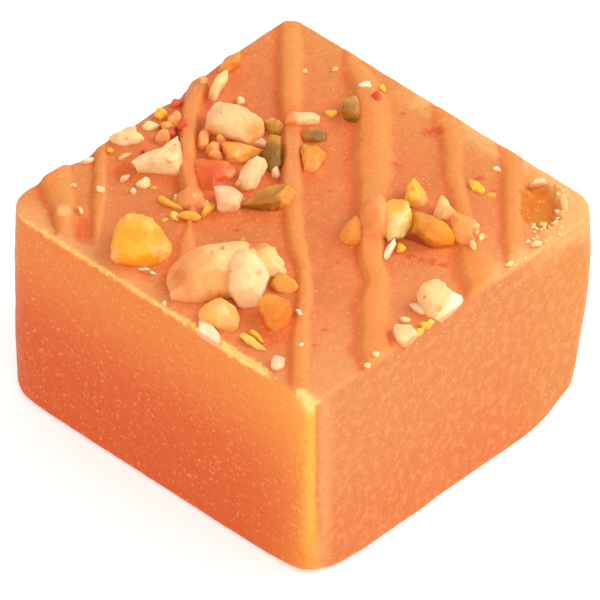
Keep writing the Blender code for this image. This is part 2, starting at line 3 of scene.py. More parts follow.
import math
import random
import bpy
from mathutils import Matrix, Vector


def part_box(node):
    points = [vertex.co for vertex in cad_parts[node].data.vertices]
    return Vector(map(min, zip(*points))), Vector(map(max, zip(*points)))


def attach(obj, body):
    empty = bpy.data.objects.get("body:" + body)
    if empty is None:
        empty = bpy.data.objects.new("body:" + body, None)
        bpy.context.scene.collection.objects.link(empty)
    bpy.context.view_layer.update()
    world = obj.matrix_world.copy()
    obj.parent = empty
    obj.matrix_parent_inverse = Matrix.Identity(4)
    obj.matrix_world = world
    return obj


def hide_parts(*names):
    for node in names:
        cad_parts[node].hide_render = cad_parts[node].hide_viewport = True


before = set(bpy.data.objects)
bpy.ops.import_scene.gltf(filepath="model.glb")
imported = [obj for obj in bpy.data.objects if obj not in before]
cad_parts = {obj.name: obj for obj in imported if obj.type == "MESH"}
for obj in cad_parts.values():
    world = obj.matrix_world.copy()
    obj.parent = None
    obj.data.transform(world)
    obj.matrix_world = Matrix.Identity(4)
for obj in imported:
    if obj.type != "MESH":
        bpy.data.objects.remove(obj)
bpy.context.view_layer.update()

from types import SimpleNamespace

import bpy
import numpy as np
from mathutils import Matrix, Vector, noise

MM = 0.001

# The slab, in millimetres; its plan comes from the slab part of model.glb
PLAN_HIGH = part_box("slab")[1]
HALF_X = PLAN_HIGH[0] / MM
HALF_Y = PLAN_HIGH[1] / MM
SLAB_Z = 21.6
CORNERS = {
    "left": (-1, -1),
    "back": (-1, 1),
    "right": (1, 1),
    "front": (1, -1),
}
CORNER_ROUND = {"left": 3.3, "back": 2.0, "right": 2.6, "front": 0.6}
FRONT_FOOT_ROUND = 2.8
TOP_EDGE_ROUND = 0.4
WORN_EDGE_ROUND = 1.5
FOOT_EDGE_ROUND = 0.25
FRONT_FOOT_WEAR = 1.3
RIGHT_FOOT_WEAR = 1.8
LEFT_FOOT_WEAR = 0.9
RIGHT_LEAN = 1.8
TOP_WAVE = 0.12
TORN_PIT_DEPTH = 0.7
HOLLOW_DEPTH = 0.2
TOP_CELLS_X = 216
TOP_CELLS_Y = 208
SIDE_CELLS = 54

# The pieces on the slab; lengths in millimetres
OUTLINE_STEP = 0.17
OVERHANG = 0.2
BIT_CORNERS = 7
# Pale chips per stripe standing in for painted highlights on its lit side
GLINTS_BY_STRIPE = 9
CHIP_WAYS = [(1, 0, 0), (0, 1, 0), (-1, 0, 0), (0, -1, 0), (0, 0, 1), (0, 0, -1)]

# The photograph's view: turn and rise in degrees, sizes in millimetres
VIEW_TURN = 43.7
VIEW_RISE = 40.5
VIEW_ROLL = 0.23
VIEW_DISTANCE = 1500.0
VIEW_AIM = (0.0, 0.0, 11.0)
VIEW_OFFSET = (-0.212, -0.554)
FRAME_WIDTH = 55.4
SENSOR_WIDTH = 36.0

TURN = math.radians(VIEW_TURN)
RISE = math.radians(VIEW_RISE)
RIGHT = Vector((math.cos(TURN), math.sin(TURN), 0.0))
AWAY = Vector((-math.sin(TURN), math.cos(TURN), 0.0))
UP = Vector((0.0, 0.0, 1.0))
BACK = Vector((math.sin(TURN) * math.cos(RISE), -math.cos(TURN) * math.cos(RISE), math.sin(RISE)))

# The stage and the lamps, in metres
FLOOR_SIZE = 3.0
FLOOR_HEIGHT = -0.0001
SKY_STRENGTH = 0.77
KEY_PLACE = RIGHT * 0.30 + AWAY * 0.06 + UP * 0.26
FILL_PLACE = RIGHT * -0.04 - AWAY * 0.30 + UP * 0.22
LAMP_AIM = Vector((0.0, 0.0, 0.015))

# Drizzle: across, away, half width and height along each stripe
STRIPES = [
    [(-23.1, 6.2, 1.7, 0.45), (-22.8, 4.6, 1.8, 0.62), (-22.5, 2.4, 1.6, 0.6), (-22.1, 0.2, 1.3, 0.55),
     (-21.9, -2.6, 0.9, 0.75), (-22.0, -3.6, 0.6, 0.3)],
    [(-18.7, 10.0, 0.6, 0.3), (-18.6, 5.9, 0.6, 0.35), (-18.6, 2.1, 0.8, 0.4), (-18.7, -1.2, 0.6, 0.35),
     (-18.9, -5.2, 0.4, 0.2)],
    [(-9.9, 18.6, 0.9, 0.4), (-9.7, 17.4, 1.1, 0.8), (-9.8, 16.3, 1.1, 1.0), (-10.4, 13.2, 1.0, 1.0),
     (-10.7, 8.5, 0.95, 1.2), (-10.6, 4.2, 0.95, 1.5), (-10.3, 1.0, 0.85, 1.5), (-10.2, -0.9, 0.5, 0.9),
     (-10.4, -2.9, 0.2, 0.2), (-10.5, -4.8, 0.7, 0.35), (-10.5, -7.2, 1.2, 0.45)],
    [(-1.1, 27.0, 1.1, 0.5), (-1.1, 20.9, 1.25, 0.55), (-1.1, 14.5, 1.2, 0.8), (-1.0, 11.0, 1.0, 0.5),
     (-1.0, 8.6, 1.05, 1.3), (-1.0, 4.6, 1.1, 1.5), (-1.0, 1.4, 1.1, 0.9), (-0.85, -1.6, 1.0, 0.5),
     (-0.5, -5.0, 0.9, 0.5), (0.2, -9.0, 0.8, 0.55), (0.3, -13.0, 0.8, 0.5), (-0.1, -18.0, 0.9, 0.5),
     (-0.1, -21.2, 1.0, 0.5), (-0.2, -26.2, 0.8, 0.35)],
    [(4.3, 22.6, 0.5, 0.35), (4.6, 21.1, 0.7, 0.4), (5.5, 18.7, 1.4, 0.6), (6.3, 15.2, 1.8, 0.7),
     (6.6, 9.5, 1.9, 0.7), (6.6, 3.8, 1.9, 0.7), (6.45, -1.0, 1.5, 1.0), (6.3, -3.4, 1.45, 2.1),
     (6.25, -5.2, 1.4, 2.0), (6.3, -6.6, 1.3, 1.1), (6.4, -8.2, 1.2, 0.6), (7.0, -10.4, 1.3, 0.55),
     (6.7, -13.3, 1.6, 0.6), (6.6, -20.6, 1.6, 0.6), (6.8, -22.4, 1.2, 0.45)],
    [(13.4, 15.6, 1.2, 0.45), (13.6, 12.2, 1.2, 0.45), (13.9, 9.5, 1.1, 0.45), (13.9, 4.5, 0.9, 0.3),
     (14.6, 0.2, 0.9, 0.3), (15.1, -4.0, 1.1, 0.4), (16.1, -8.3, 2.0, 0.55), (16.6, -12.5, 1.5, 0.5)],
    [(19.4, 9.6, 1.0, 0.4), (19.4, 6.4, 1.0, 0.4), (19.5, 1.0, 1.15, 0.45), (19.4, -4.7, 1.0, 0.4),
     (19.6, -9.5, 0.7, 0.3)],
]

# Hollows in the top, painted a deeper orange as shade: across, away, half across, half away and depth
HOLLOWS = [
    (-20.2, -3.4, 1.1, 2.1, 0.22),
    (-16.8, 5.0, 0.95, 1.6, 0.18),
    (-2.6, -18.6, 1.5, 1.5, 0.15),
    (-11.9, 11.3, 1.6, 2.6, 0.15),
]

# Ovals on the top, across, away, half across and half away: a pale blob and the torn pit
PALE_BLOB = (-21.9, -1.5, 0.85, 1.2)
TORN_PIT = (21.8, 0.3, 1.9, 3.0)

# The way from a nut to its shade, across and away
SHADE_WAY = np.array([-0.9, -0.44])

# Dents in the back left edge: x, y, reach across the edge, reach along it and depth
EDGE_DENTS = [
    (-20.0, -8.5, 1.6, 1.4, 0.5),
    (-20.0, 3.7, 1.6, 1.2, 0.65),
]

# Reddish blotches on the top: across, away, half across and half away
BLOTCHES = [
    (12.1, 10.8, 1.1, 0.75), (11.9, -7.8, 0.5, 0.5), (12.8, -8.2, 0.4, 0.4), (10.9, -7.5, 0.35, 0.4),
    (10.0, -7.0, 0.5, 0.4), (2.0, -17.5, 0.3, 0.3), (1.1, -19.7, 0.25, 0.35), (4.0, 6.8, 0.3, 0.3),
    (8.6, 6.0, 0.6, 0.35), (-14.6, -9.5, 0.5, 0.3), (2.6, 2.0, 0.3, 0.3), (3.2, -8.0, 0.25, 0.3),
    (16.3, 4.0, 0.5, 0.4), (-6.0, -3.4, 0.5, 0.25), (9.2, 13.5, 0.3, 0.3), (17.5, 2.2, 0.4, 0.3),
]

# Colours as the eye sees them, 0 to 255
SALMON = (216, 121, 64)
# Painted glow of light through the translucent top edges, at the back, the right and the left end
TAN = (220, 140, 68)
DRIZZLE = (222, 131, 54)
DRIZZLE_LIT = (227, 152, 85)
STRIPE_SHADE = (216, 98, 34)
# Painted shade in the hollows of the top
HOLLOW_SHADE = (218, 84, 24)
NUT_SHADE = (222, 92, 26)
RUST = (212, 78, 34)
# Painted bounce light from the fudge on the low and steep sides of the nuts, with a wash of its glaze
FOOT_BOUNCE = (230, 126, 52)
# Painted shade and light of the upright faces: the left face darker and more saturated, as if in shade, the
# right face paler, as if lit; the LOW tints darken both towards the foot
LEFT_FACE = (209, 89, 14)
LEFT_LOW = (204, 80, 10)
LEFT_HIGH = (218, 119, 40)
RIGHT_FACE = (200, 117, 54)
RIGHT_LOW = (202, 106, 38)
RIGHT_END = (204, 126, 38)
END_LOW = (194, 112, 22)
RIGHT_STRIP = (222, 149, 82)
# Painted glow of light through the fudge on the left face by the front corner
GLOW = (230, 150, 44)
GLOW_LINE = (241, 171, 58)
# Pale crumbs along the left top edge, with a painted highlight
PALE_EDGE = (252, 208, 118)
RIM = (238, 175, 106)
# Painted glow of light through the translucent top edges; PALE_DROP also tints the pale drizzle blob
SOFT_EDGE = (232, 158, 96)
PALE_DROP = (240, 180, 112)
# Painted highlight spot at the top of the front corner
CORNER_HIGHLIGHT = (255, 226, 140)
TORN = (214, 122, 28)


def linear(colour):
    """A colour as the eye sees it, as the four values that a material takes."""
    shares = [c / 255 for c in colour]
    return (*(s / 12.92 if s <= 0.04045 else ((s + 0.055) / 1.055) ** 2.4 for s in shares), 1.0)


def smooth(values):
    """Ease from 0 to 1."""
    values = np.clip(values, 0.0, 1.0)
    return values * values * (3.0 - 2.0 * values)


def crowded(values):
    """Move evenly spaced places from -1 to 1 a little closer together at the ends."""
    return np.sin(values * 1.1) / math.sin(1.1)


def slow_wave(x, y):
    """The slow rise and fall of the top face, from -1 to 1."""
    return np.sin(x * 0.31 + 1.0) * np.cos(y * 0.27)


def facing(way):
    """1 on faces that look along a way, from the way's share of their direction out."""
    return smooth(way * 2.0 - 0.8)


def noise_at(points, cell, seed):
    """Smooth noise from -1 to 1 whose lumps are about a cell wide, in millimetres."""
    shift = Vector((seed * 17.3, seed * -9.1, seed * 5.7))
    return np.array([noise.noise(Vector(p) / cell + shift) for p in points])


def on_top(across, away, height=0.0):
    """A point over the top face, in millimetres."""
    place = RIGHT * across + AWAY * away
    place.z = SLAB_Z + height
    return place


def object_from(name, points, faces, masks=None):
    """A smooth mesh object from points in millimetres, with masks stored on its points."""
    mesh = bpy.data.meshes.new(name)
    mesh.from_pydata([tuple(c * MM for c in p) for p in points], [], faces)
    mesh.update()
    mesh.shade_smooth()
    for mask, values in (masks or {}).items():
        layer = mesh.attributes.new(mask, "FLOAT", "POINT")
        layer.data.foreach_set("value", np.asarray(values, dtype=np.float32))
    item = bpy.data.objects.new(name, mesh)
    bpy.context.scene.collection.objects.link(item)
    return item


def near_corner(name, x, y, reach):
    """1 at a corner of the plan, falling to 0 at a distance from it."""
    side_x, side_y = CORNERS[name]
    return smooth(1.0 - np.hypot(x - side_x * HALF_X, y - side_y * HALF_Y) / reach)


def round_plan(x, y, z):
    """Points of a sharp-cornered plan moved onto the rounded one, and the way out there."""
    radius = np.zeros_like(x)
    for name, (side_x, side_y) in CORNERS.items():
        here = (side_x * x >= 0) & (side_y * y >= 0)
        size = np.full_like(x, CORNER_ROUND[name])
        if name == "front":
            size += (FRONT_FOOT_ROUND - size) * smooth(1.0 - 2.0 * z / SLAB_Z)
        if name == "right":
            size += 0.7 * smooth(2.5 * z / SLAB_Z - 1.5)
        radius = np.where(here, size, radius)
    core_x = np.clip(x, radius - HALF_X, HALF_X - radius)
    core_y = np.clip(y, radius - HALF_Y, HALF_Y - radius)
    out_x = x - core_x
    out_y = y - core_y
    span = np.maximum(np.hypot(out_x, out_y), 1e-9)
    reach = np.maximum(np.abs(out_x), np.abs(out_y))
    corner = (np.abs(out_x) > 1e-9) & (np.abs(out_y) > 1e-9)
    by_x = HALF_X - np.abs(x) < HALF_Y - np.abs(y)
    way_x = np.where(corner, out_x / span, np.where(by_x, np.sign(x), 0.0))
    way_y = np.where(corner, out_y / span, np.where(by_x, 0.0, np.sign(y)))
    px = np.where(corner, core_x + way_x * reach, x)
    py = np.where(corner, core_y + way_y * reach, y)
    return px, py, way_x, way_y


def edge_round(x, y, top):
    """The round of the top and bottom edges near points of the plan."""
    on_back_left = smooth((-x - HALF_X + 3.0) / 3.0)
    middle = smooth(1.0 - np.abs(y + 1.0) / 16.0)
    upper = TOP_EDGE_ROUND + (WORN_EDGE_ROUND - TOP_EDGE_ROUND) * on_back_left * middle
    foot = FOOT_EDGE_ROUND + np.zeros_like(x)
    foot += (FRONT_FOOT_WEAR - FOOT_EDGE_ROUND) * near_corner("front", x, y, 8.0)
    foot += (RIGHT_FOOT_WEAR - FOOT_EDGE_ROUND) * near_corner("right", x, y, 7.0)
    foot += (LEFT_FOOT_WEAR - FOOT_EDGE_ROUND) * near_corner("left", x, y, 8.0)
    return np.where(top, upper, foot)


def drizzle_at(across, away):
    """Height, cover, shaded side and lit side of the drizzle at places on the top face."""
    height = np.zeros_like(across)
    cover = np.zeros_like(across)
    shade = np.zeros_like(across)
    lit = np.zeros_like(across)
    for index, route in enumerate(STRIPES):
        ordered = sorted(route, key=lambda p: p[1])
        ends = [p[1] for p in ordered]
        middle = np.interp(away, ends, [p[0] for p in ordered])
        half = np.interp(away, ends, [p[2] for p in ordered])
        thick = np.interp(away, ends, [p[3] for p in ordered])
        wobble = np.sin(away * 0.9 + index * 2.1) * 0.05 + np.sin(away * 2.3 + index) * 0.03
        half = half * (1.0 + wobble)
        over = np.maximum(np.maximum(ends[0] - away, away - ends[-1]), 0.0)
        distance = (across - middle) / half
        reach = np.hypot(distance, over / half)
        dome = smooth(1.4 * (1.0 - reach ** 2.0))
        height = np.maximum(height, 0.9 * thick * dome)
        inside = smooth((1.12 - reach) / 0.45)
        cover = np.maximum(cover, inside)
        beside = smooth((1.5 - over / half) / 0.5)
        shade = np.maximum(shade, np.exp(-((distance + 1.12) / 0.38) ** 2) * beside)
        lit = np.maximum(lit, np.exp(-((distance - 0.35) / 0.42) ** 2) * inside)
    return height, cover, shade, lit


def dent_at(x, y):
    """How deep the dents of the back edge are at places of the top face."""
    deep = np.zeros_like(x)
    for middle_x, middle_y, half_x, half_y, depth in EDGE_DENTS:
        reach = np.hypot((x - middle_x) / half_x, (y - middle_y) / half_y)
        deep = np.maximum(deep, depth * np.exp(-reach ** 2))
    return deep


def beside_nuts(across, away, rings):
    """How near places on the top are to a nut, and how far they lie on its shaded side."""
    near = np.full_like(across, 99.0)
    shaded = np.zeros_like(across)
    for ring in rings:
        low = ring.min(axis=0) - 2.5
        high = ring.max(axis=0) + 2.5
        here = np.nonzero((across > low[0]) & (across < high[0]) & (away > low[1]) & (away < high[1]))[0]
        gap = np.hypot(across[here, None] - ring[None, :, 0], away[here, None] - ring[None, :, 1])
        gap = gap.min(axis=1)
        middle = ring.mean(axis=0)
        way = np.stack([across[here] - middle[0], away[here] - middle[1]], axis=1)
        way /= np.maximum(np.linalg.norm(way, axis=1, keepdims=True), 1e-6)
        side = 0.5 + 0.5 * (way @ SHADE_WAY)
        near[here] = np.minimum(near[here], gap)
        shaded[here] = np.maximum(shaded[here], np.exp(-gap / (0.5 + 0.7 * side)) * (0.35 + 0.65 * side))
    return near, np.clip(shaded, 0.0, 1.0)


def slab_grid():
    """Places on the skin of the cube from -1 to 1 and the faces between them."""
    s = crowded(np.linspace(-1.0, 1.0, TOP_CELLS_X + 1))
    t = crowded(np.linspace(-1.0, 1.0, TOP_CELLS_Y + 1))
    w = crowded(np.linspace(1.0, -1.0, SIDE_CELLS + 1))
    across = TOP_CELLS_X + 1
    places = [(a, b, 1.0) for b in t for a in s]
    faces = []
    for j in range(TOP_CELLS_Y):
        for i in range(TOP_CELLS_X):
            corner = j * across + i
            faces.append((corner, corner + 1, corner + across + 1, corner + across))
    above = list(range(TOP_CELLS_X))
    above += [j * across + TOP_CELLS_X for j in range(TOP_CELLS_Y)]
    above += [TOP_CELLS_Y * across + i for i in range(TOP_CELLS_X, 0, -1)]
    above += [j * across for j in range(TOP_CELLS_Y, 0, -1)]
    rim = [places[k][:2] for k in above]
    for level in w[1:]:
        start = len(places)
        places += [(a, b, level) for a, b in rim]
        below = list(range(start, start + len(rim)))
        for k in range(len(rim)):
            n = (k + 1) % len(rim)
            faces.append((above[k], below[k], below[n], above[n]))
        above = below
    faces.append(tuple(reversed(above)))
    return np.array(places), faces


def slab_skin():
    """The plain slab with rounded edges: its points, their ways out and places, and its faces."""
    places, faces = slab_grid()
    x = places[:, 0] * HALF_X
    y = places[:, 1] * HALF_Y
    z = (places[:, 2] + 1.0) / 2.0 * SLAB_Z
    px, py, way_x, way_y = round_plan(x, y, z)
    inset = np.minimum(HALF_X - np.abs(x), HALF_Y - np.abs(y))
    top = z > SLAB_Z / 2
    drop = np.where(top, SLAB_Z - z, z)
    radius = edge_round(x, y, top)
    rounded = (inset < radius) & (drop < radius)
    angle = math.pi / 4 * (1.0 + (drop - inset) / radius)
    new_inset = np.where(rounded, radius * (1.0 - np.sin(angle)), inset)
    new_drop = np.where(rounded, radius * (1.0 - np.cos(angle)), drop)
    z = np.where(top, SLAB_Z - new_drop, new_drop)
    lean = RIGHT_LEAN * (1.0 - z / SLAB_Z) ** 1.7 * near_corner("right", x, y, 11.0)
    px = px - way_x * (new_inset - inset) - lean * RIGHT.x
    py = py - way_y * (new_inset - inset) - lean * RIGHT.y
    skin = SimpleNamespace(x=px, y=py, z=z, way_x=way_x, way_y=way_y, top=top, inset=inset)
    skin.from_brink = new_inset + new_drop
    skin.on_face = np.where(top, 1.0 - smooth(new_drop / 0.6), 0.0)
    skin.side = 1.0 - skin.on_face
    skin.across = px * RIGHT.x + py * RIGHT.y
    skin.away = px * AWAY.x + py * AWAY.y
    skin.flat = np.stack([px, py, z], axis=1)
    skin.ragged = noise_at(skin.flat, 0.9, 4)
    skin.lumps = noise_at(skin.flat, 1.3, 2)
    return skin, faces


def reach_from(skin, across, away, half_across, half_away):
    """How far the skin lies from a spot on the top face: 1 on the oval round the spot."""
    return np.hypot((skin.across - across) / half_across, (skin.away - away) / half_away)


def hollow_mask(skin):
    """The hollows, painted a deeper orange as shade; 1 where one is as deep as HOLLOW_DEPTH."""
    uneven = 0.25 * noise_at(skin.flat, 1.7, 14)
    found = np.zeros_like(skin.across)
    for *oval, deep in HOLLOWS:
        inside = smooth((1.25 - reach_from(skin, *oval) + uneven) / 0.9)
        found = np.maximum(found, inside * deep / HOLLOW_DEPTH)
    return found


def rust_mask(skin, grit):
    """The reddish blotches with their gritty edges."""
    found = np.zeros_like(skin.across)
    for oval in BLOTCHES:
        found = np.maximum(found, smooth((1.25 - reach_from(skin, *oval) + 0.7 * grit) / 0.8))
    return found


def top_relief(skin, rings):
    """Raise the drizzle and sink the hollows and the torn pit; gives the masks of the top face."""
    grit = noise_at(skin.flat, 0.4, 16)
    from_pit = reach_from(skin, *TORN_PIT)
    pit = smooth((1.12 - from_pit + 0.22 * skin.ragged) / 0.35)
    pit_rim = smooth(1.0 - np.abs(from_pit - 1.35) / 0.5) * smooth((skin.across - 20.6) / 1.2)
    wander = 0.10 * noise_at(skin.flat, 1.6, 9)
    height, cover, shade, lit = drizzle_at(skin.across + wander, skin.away)
    height = height * (1.0 - pit) * (0.25 + 0.75 * smooth((HALF_Y - skin.y) / 4.0))
    cover = cover * (1.0 - pit)
    near, shaded = beside_nuts(skin.across, skin.away, rings)
    swollen = 0.26 * np.exp(-(near / 0.42) ** 1.3)
    height = np.maximum(height, swollen * (1.0 + 0.5 * noise_at(skin.flat, 0.8, 12)))
    hollow = hollow_mask(skin)
    wave = slow_wave(skin.x, skin.y) + 0.6 * np.sin(skin.across * 0.83 + skin.away * 0.19)
    fine = 0.035 * noise_at(skin.flat, 0.45, 1) + 0.05 * skin.lumps
    relief = TOP_WAVE * wave * smooth(skin.inset / 3.0) - TORN_PIT_DEPTH * pit + height
    relief += fine * (1.0 - 0.6 * cover) - HOLLOW_DEPTH * hollow + 0.22 * pit_rim * np.abs(grit)
    skin.z = skin.z - dent_at(skin.x, skin.y) * smooth(skin.z / SLAB_Z * 4.0 - 3.0)
    skin.z = skin.z + skin.on_face * relief
    skin.pit = pit
    masks = {
        "hollow": hollow,
        "rust": rust_mask(skin, grit),
        "drizzle": cover,
        # Painted highlight where the drizzle is thick
        "thick": smooth((height - 0.6) / 0.5) * cover,
        "shade": shade * (1.0 - pit),
        "lit": lit * (1.0 - pit),
        "blob": smooth((1.1 - reach_from(skin, *PALE_BLOB)) / 0.8),
        "torn": smooth(pit * 1.7),
        "shaded": shaded,
    }
    return {name: mask * skin.on_face for name, mask in masks.items()}


def rough_sides(skin):
    """Crumble the edges of the top and let the sides and their foot bulge."""
    by_left = smooth(1.0 - np.abs(skin.y + HALF_Y) / 1.6)
    by_right = smooth(1.0 - np.abs(skin.x - HALF_X) / 1.6)
    broken = 0.03 + 0.17 * np.maximum(by_left, 0.8 * by_right)
    brink = np.where(skin.top, smooth(1.0 - skin.from_brink / 1.3), 0.0)
    crumble = brink * np.abs(noise_at(skin.flat, 0.6, 5)) * broken
    foot = smooth(1.2 - skin.z / 7.0)
    left_foot = foot * facing(-skin.way_y) * smooth((skin.x + HALF_X - 1.0) / 4.0)
    right_foot = foot * facing(skin.way_x) * smooth((skin.y + 18.5) / 3.0) * smooth((-1.5 - skin.y) / 4.0)
    belly = 0.14 * np.sin(math.pi * np.clip(skin.z / SLAB_Z, 0.0, 1.0))
    belly += 0.26 * left_foot + 0.24 * right_foot
    bulge = 0.04 * skin.lumps + 0.08 * noise_at(skin.flat, 6.0, 3) + belly
    push = skin.side * smooth(skin.z / 0.3) * bulge - crumble
    skin.x = skin.x + skin.way_x * push
    skin.y = skin.y + skin.way_y * push
    skin.z = skin.z - crumble * skin.on_face * 0.6


def side_masks(skin):
    """Painted light and shade on the upright faces: the left face darker and more saturated, as if in shade,
    darker towards its foot and paler under its top edge; the right face paler, as if lit, darker towards its
    foot and warmer towards its far end, with a pale band under the top edge there and a pale strip by the
    front corner.
    """
    rise = skin.z / SLAB_Z
    left = facing(np.maximum(-skin.way_y, -skin.way_x)) * skin.side
    right = facing(np.maximum(skin.way_x, skin.way_y)) * skin.side
    front_right = facing(skin.way_x) * skin.side
    far_end = front_right * smooth((skin.y - 6.0) / 9.0)
    return {
        "left": left,
        "left_low": left * smooth(1.25 - rise * 1.5),
        "left_high": left * smooth(1.9 * rise - 0.75),
        "right": right,
        "right_low": right * smooth(1.1 - rise * 1.5),
        "right_end": front_right * smooth((skin.y - 4.0) / 14.0),
        "end_low": far_end * smooth(1.1 - rise * 1.8),
        "high_end": far_end * smooth(1.0 - (SLAB_Z - skin.z) / 3.5 + 0.3 * skin.lumps),
        "strip": front_right * smooth(1.0 - np.abs(skin.y + HALF_Y - 1.3) / 1.5),
    }


def soft_masks(skin):
    """The paler and warmer parts of the top face towards its edges: painted glow of light through the
    translucent edges, and the pale crumbly rim by the right edge and corner.
    """
    to_right = HALF_X - skin.x
    to_back = HALF_Y - skin.y
    from_left = skin.y + HALF_Y
    rim = smooth(1.0 - to_right / 2.4 + 0.5 * skin.ragged) * smooth((skin.y - 3.0) / 4.0)
    corner = smooth((skin.across - 20.8 + 0.9 * skin.ragged) / 2.2)
    masks = {
        "warm_edge": smooth(1.0 - np.minimum(to_back, to_right + 6.0) / 9.0),
        "warm_left": smooth((-skin.across - 13.0) / 10.0),
        "left_soft": smooth(1.0 - from_left / 4.4 + 0.3 * skin.ragged) * smooth((12.0 - skin.x) / 8.0),
        "right_soft": smooth(1.0 - to_right / 11.0),
        "back_soft": smooth(1.0 - to_back / 3.0 + 0.4 * skin.lumps) * smooth((skin.x + 6.5) / 5.0),
        "rim": np.maximum(rim, corner * skin.on_face) * (1.0 - skin.pit),
    }
    return {name: mask * skin.on_face for name, mask in masks.items()}


def pale_edge_mask(skin):
    """The pale ragged line along the left top edge, widest three quarters of the way to the front: pale
    crumbs with a painted highlight, strongest at the front corner.
    """
    from_left = np.abs(skin.y + HALF_Y)
    width = 0.27 + 0.06 * smooth((skin.x + 4.0) / 10.0) + 0.26 * np.exp(-((skin.x - 10.8) / 2.4) ** 2)
    strong = 0.8 + 0.2 * smooth((skin.x + 6.0) / 10.0) - 0.85 * smooth((skin.x - 13.2) / 1.6)
    strong = np.where(skin.x > 17.6, 1.0, strong)
    from_edge = np.where(skin.z > SLAB_Z - 0.08, from_left, SLAB_Z - skin.z)
    uneven = 0.5 + 0.5 * noise_at(skin.flat, 0.55, 6) + 0.25 * noise_at(skin.flat, 0.35, 17)
    line = smooth((width * (0.4 + 1.3 * uneven) - from_edge) / 0.55 + 0.55)
    return np.clip(line * strong * smooth(1.0 - from_left / 1.5) * skin.top, 0, 1)


def front_masks(skin):
    """Painted light by the front corner: the glow of light through the fudge on the left face and under its
    top edge, a glowing line along the corner, the pale edge line with its painted highlight, and a painted
    highlight spot at the top of the corner.
    """
    front_left = facing(-skin.way_y) * skin.side
    to_corner = HALF_X - skin.x
    below = SLAB_Z - skin.z
    glow = 0.95 * np.exp(-np.maximum(to_corner, 0) / 2.6)
    glow += 0.7 * np.exp(-np.hypot(to_corner, below * 0.9) / 4.0)
    glow += 0.35 * np.exp(-below / 2.2) * smooth((skin.x + 6.0) / 20.0)
    speckle = smooth(0.5 + 1.4 * noise_at(skin.flat, 0.5, 15))
    line = smooth(1.35 - np.maximum(to_corner - 0.1, 0) / (0.9 + 0.6 * speckle))
    spot_side = np.exp(-(np.hypot(skin.x - 19.2, (below - 0.3) * 0.8) / 0.9) ** 2) * front_left
    spot_top = np.exp(-(np.hypot(skin.x - 19.0, skin.y + HALF_Y) / 0.7) ** 2) * skin.on_face
    return {
        "glow": np.clip(glow * front_left, 0, 1),
        "glow_line": np.clip(line * front_left * smooth(skin.z / SLAB_Z * 1.6 + 0.35), 0, 1),
        "pale_edge": pale_edge_mask(skin),
        "corner_highlight_spot": np.maximum(spot_side, spot_top),
    }


def slab_piece(rings):
    """The fudge with its drizzle, as one closed skin that swells a little round the nuts."""
    skin, faces = slab_skin()
    masks = top_relief(skin, rings)
    rough_sides(skin)
    masks |= side_masks(skin) | soft_masks(skin) | front_masks(skin)
    points = np.stack([skin.x, skin.y, skin.z], axis=1)
    return object_from("fudge_slab", points, faces, masks)


def closed_curve(corners):
    """Points along a smooth closed curve through some corners."""
    count = len(corners)
    found = []
    for index in range(count):
        p0, p1, p2, p3 = (np.array(corners[(index + k - 1) % count]) for k in range(4))
        pieces = max(2, int(np.linalg.norm(p2 - p1) / OUTLINE_STEP))
        for part in range(pieces):
            t = part / pieces
            curved = 0.5 * (2 * p1 + (p2 - p0) * t + (2 * p0 - 5 * p1 + 4 * p2 - p3) * t * t
                            + (3 * p1 - p0 - 3 * p2 + p3) * t ** 3)
            straight = p1 + (p2 - p1) * t
            found.append(tuple(0.3 * curved + 0.7 * straight))
    return found


def jagged_ring(outline, seed, rough):
    """A closed curve through an outline, made a little uneven."""
    ring = closed_curve(outline)
    jag = [noise.noise(Vector((a / 0.55, b / 0.55, seed * 1.7))) * rough * 1.6 for a, b in ring]
    return [(a + j, b + j * 0.7) for (a, b), j in zip(ring, jag)]


def lump_rows(levels, bulge, depth, flat):
    """The reach and the height of each row of a lump, from its underside up to its crown."""
    for level in range(-levels // 2, levels + 1):
        if level < 0:
            turn = math.pi / 2 * level / (levels // 2 + 2)
            yield math.cos(turn) ** 0.6, math.sin(turn) * depth
        else:
            turn = math.pi / 2 * level / (levels + 0.6)
            yield math.cos(turn) ** flat, math.sin(turn) ** 0.9 * bulge


def cut_facets(points, middle, lean_way, normal, planes):
    """Cut facets into a lump. Each plane: its angle as seen, its rise and the share it keeps."""
    for angle, rise, share in planes:
        spin = math.radians(angle)
        slope = math.radians(rise)
        way = (RIGHT * math.cos(spin) + lean_way * math.sin(spin)) * math.cos(slope)
        way = np.array(way + normal * math.sin(slope))
        level = (points - middle) @ way
        points -= np.outer(np.maximum(level - level.max() * share, 0.0) * 0.96, way)


def lump_faces(rows, count):
    """Faces between the rows of a lump, and from its first and last row to the tips after them."""
    faces = []
    next_round = [(k, (k + 1) % count) for k in range(count)]
    for row in range(rows - 1):
        low = row * count
        high = low + count
        faces += [(low + k, low + n, high + n, high + k) for k, n in next_round]
    last = (rows - 1) * count
    faces += [(n, k, rows * count) for k, n in next_round]
    faces += [(last + k, last + n, rows * count + 1) for k, n in next_round]
    return faces


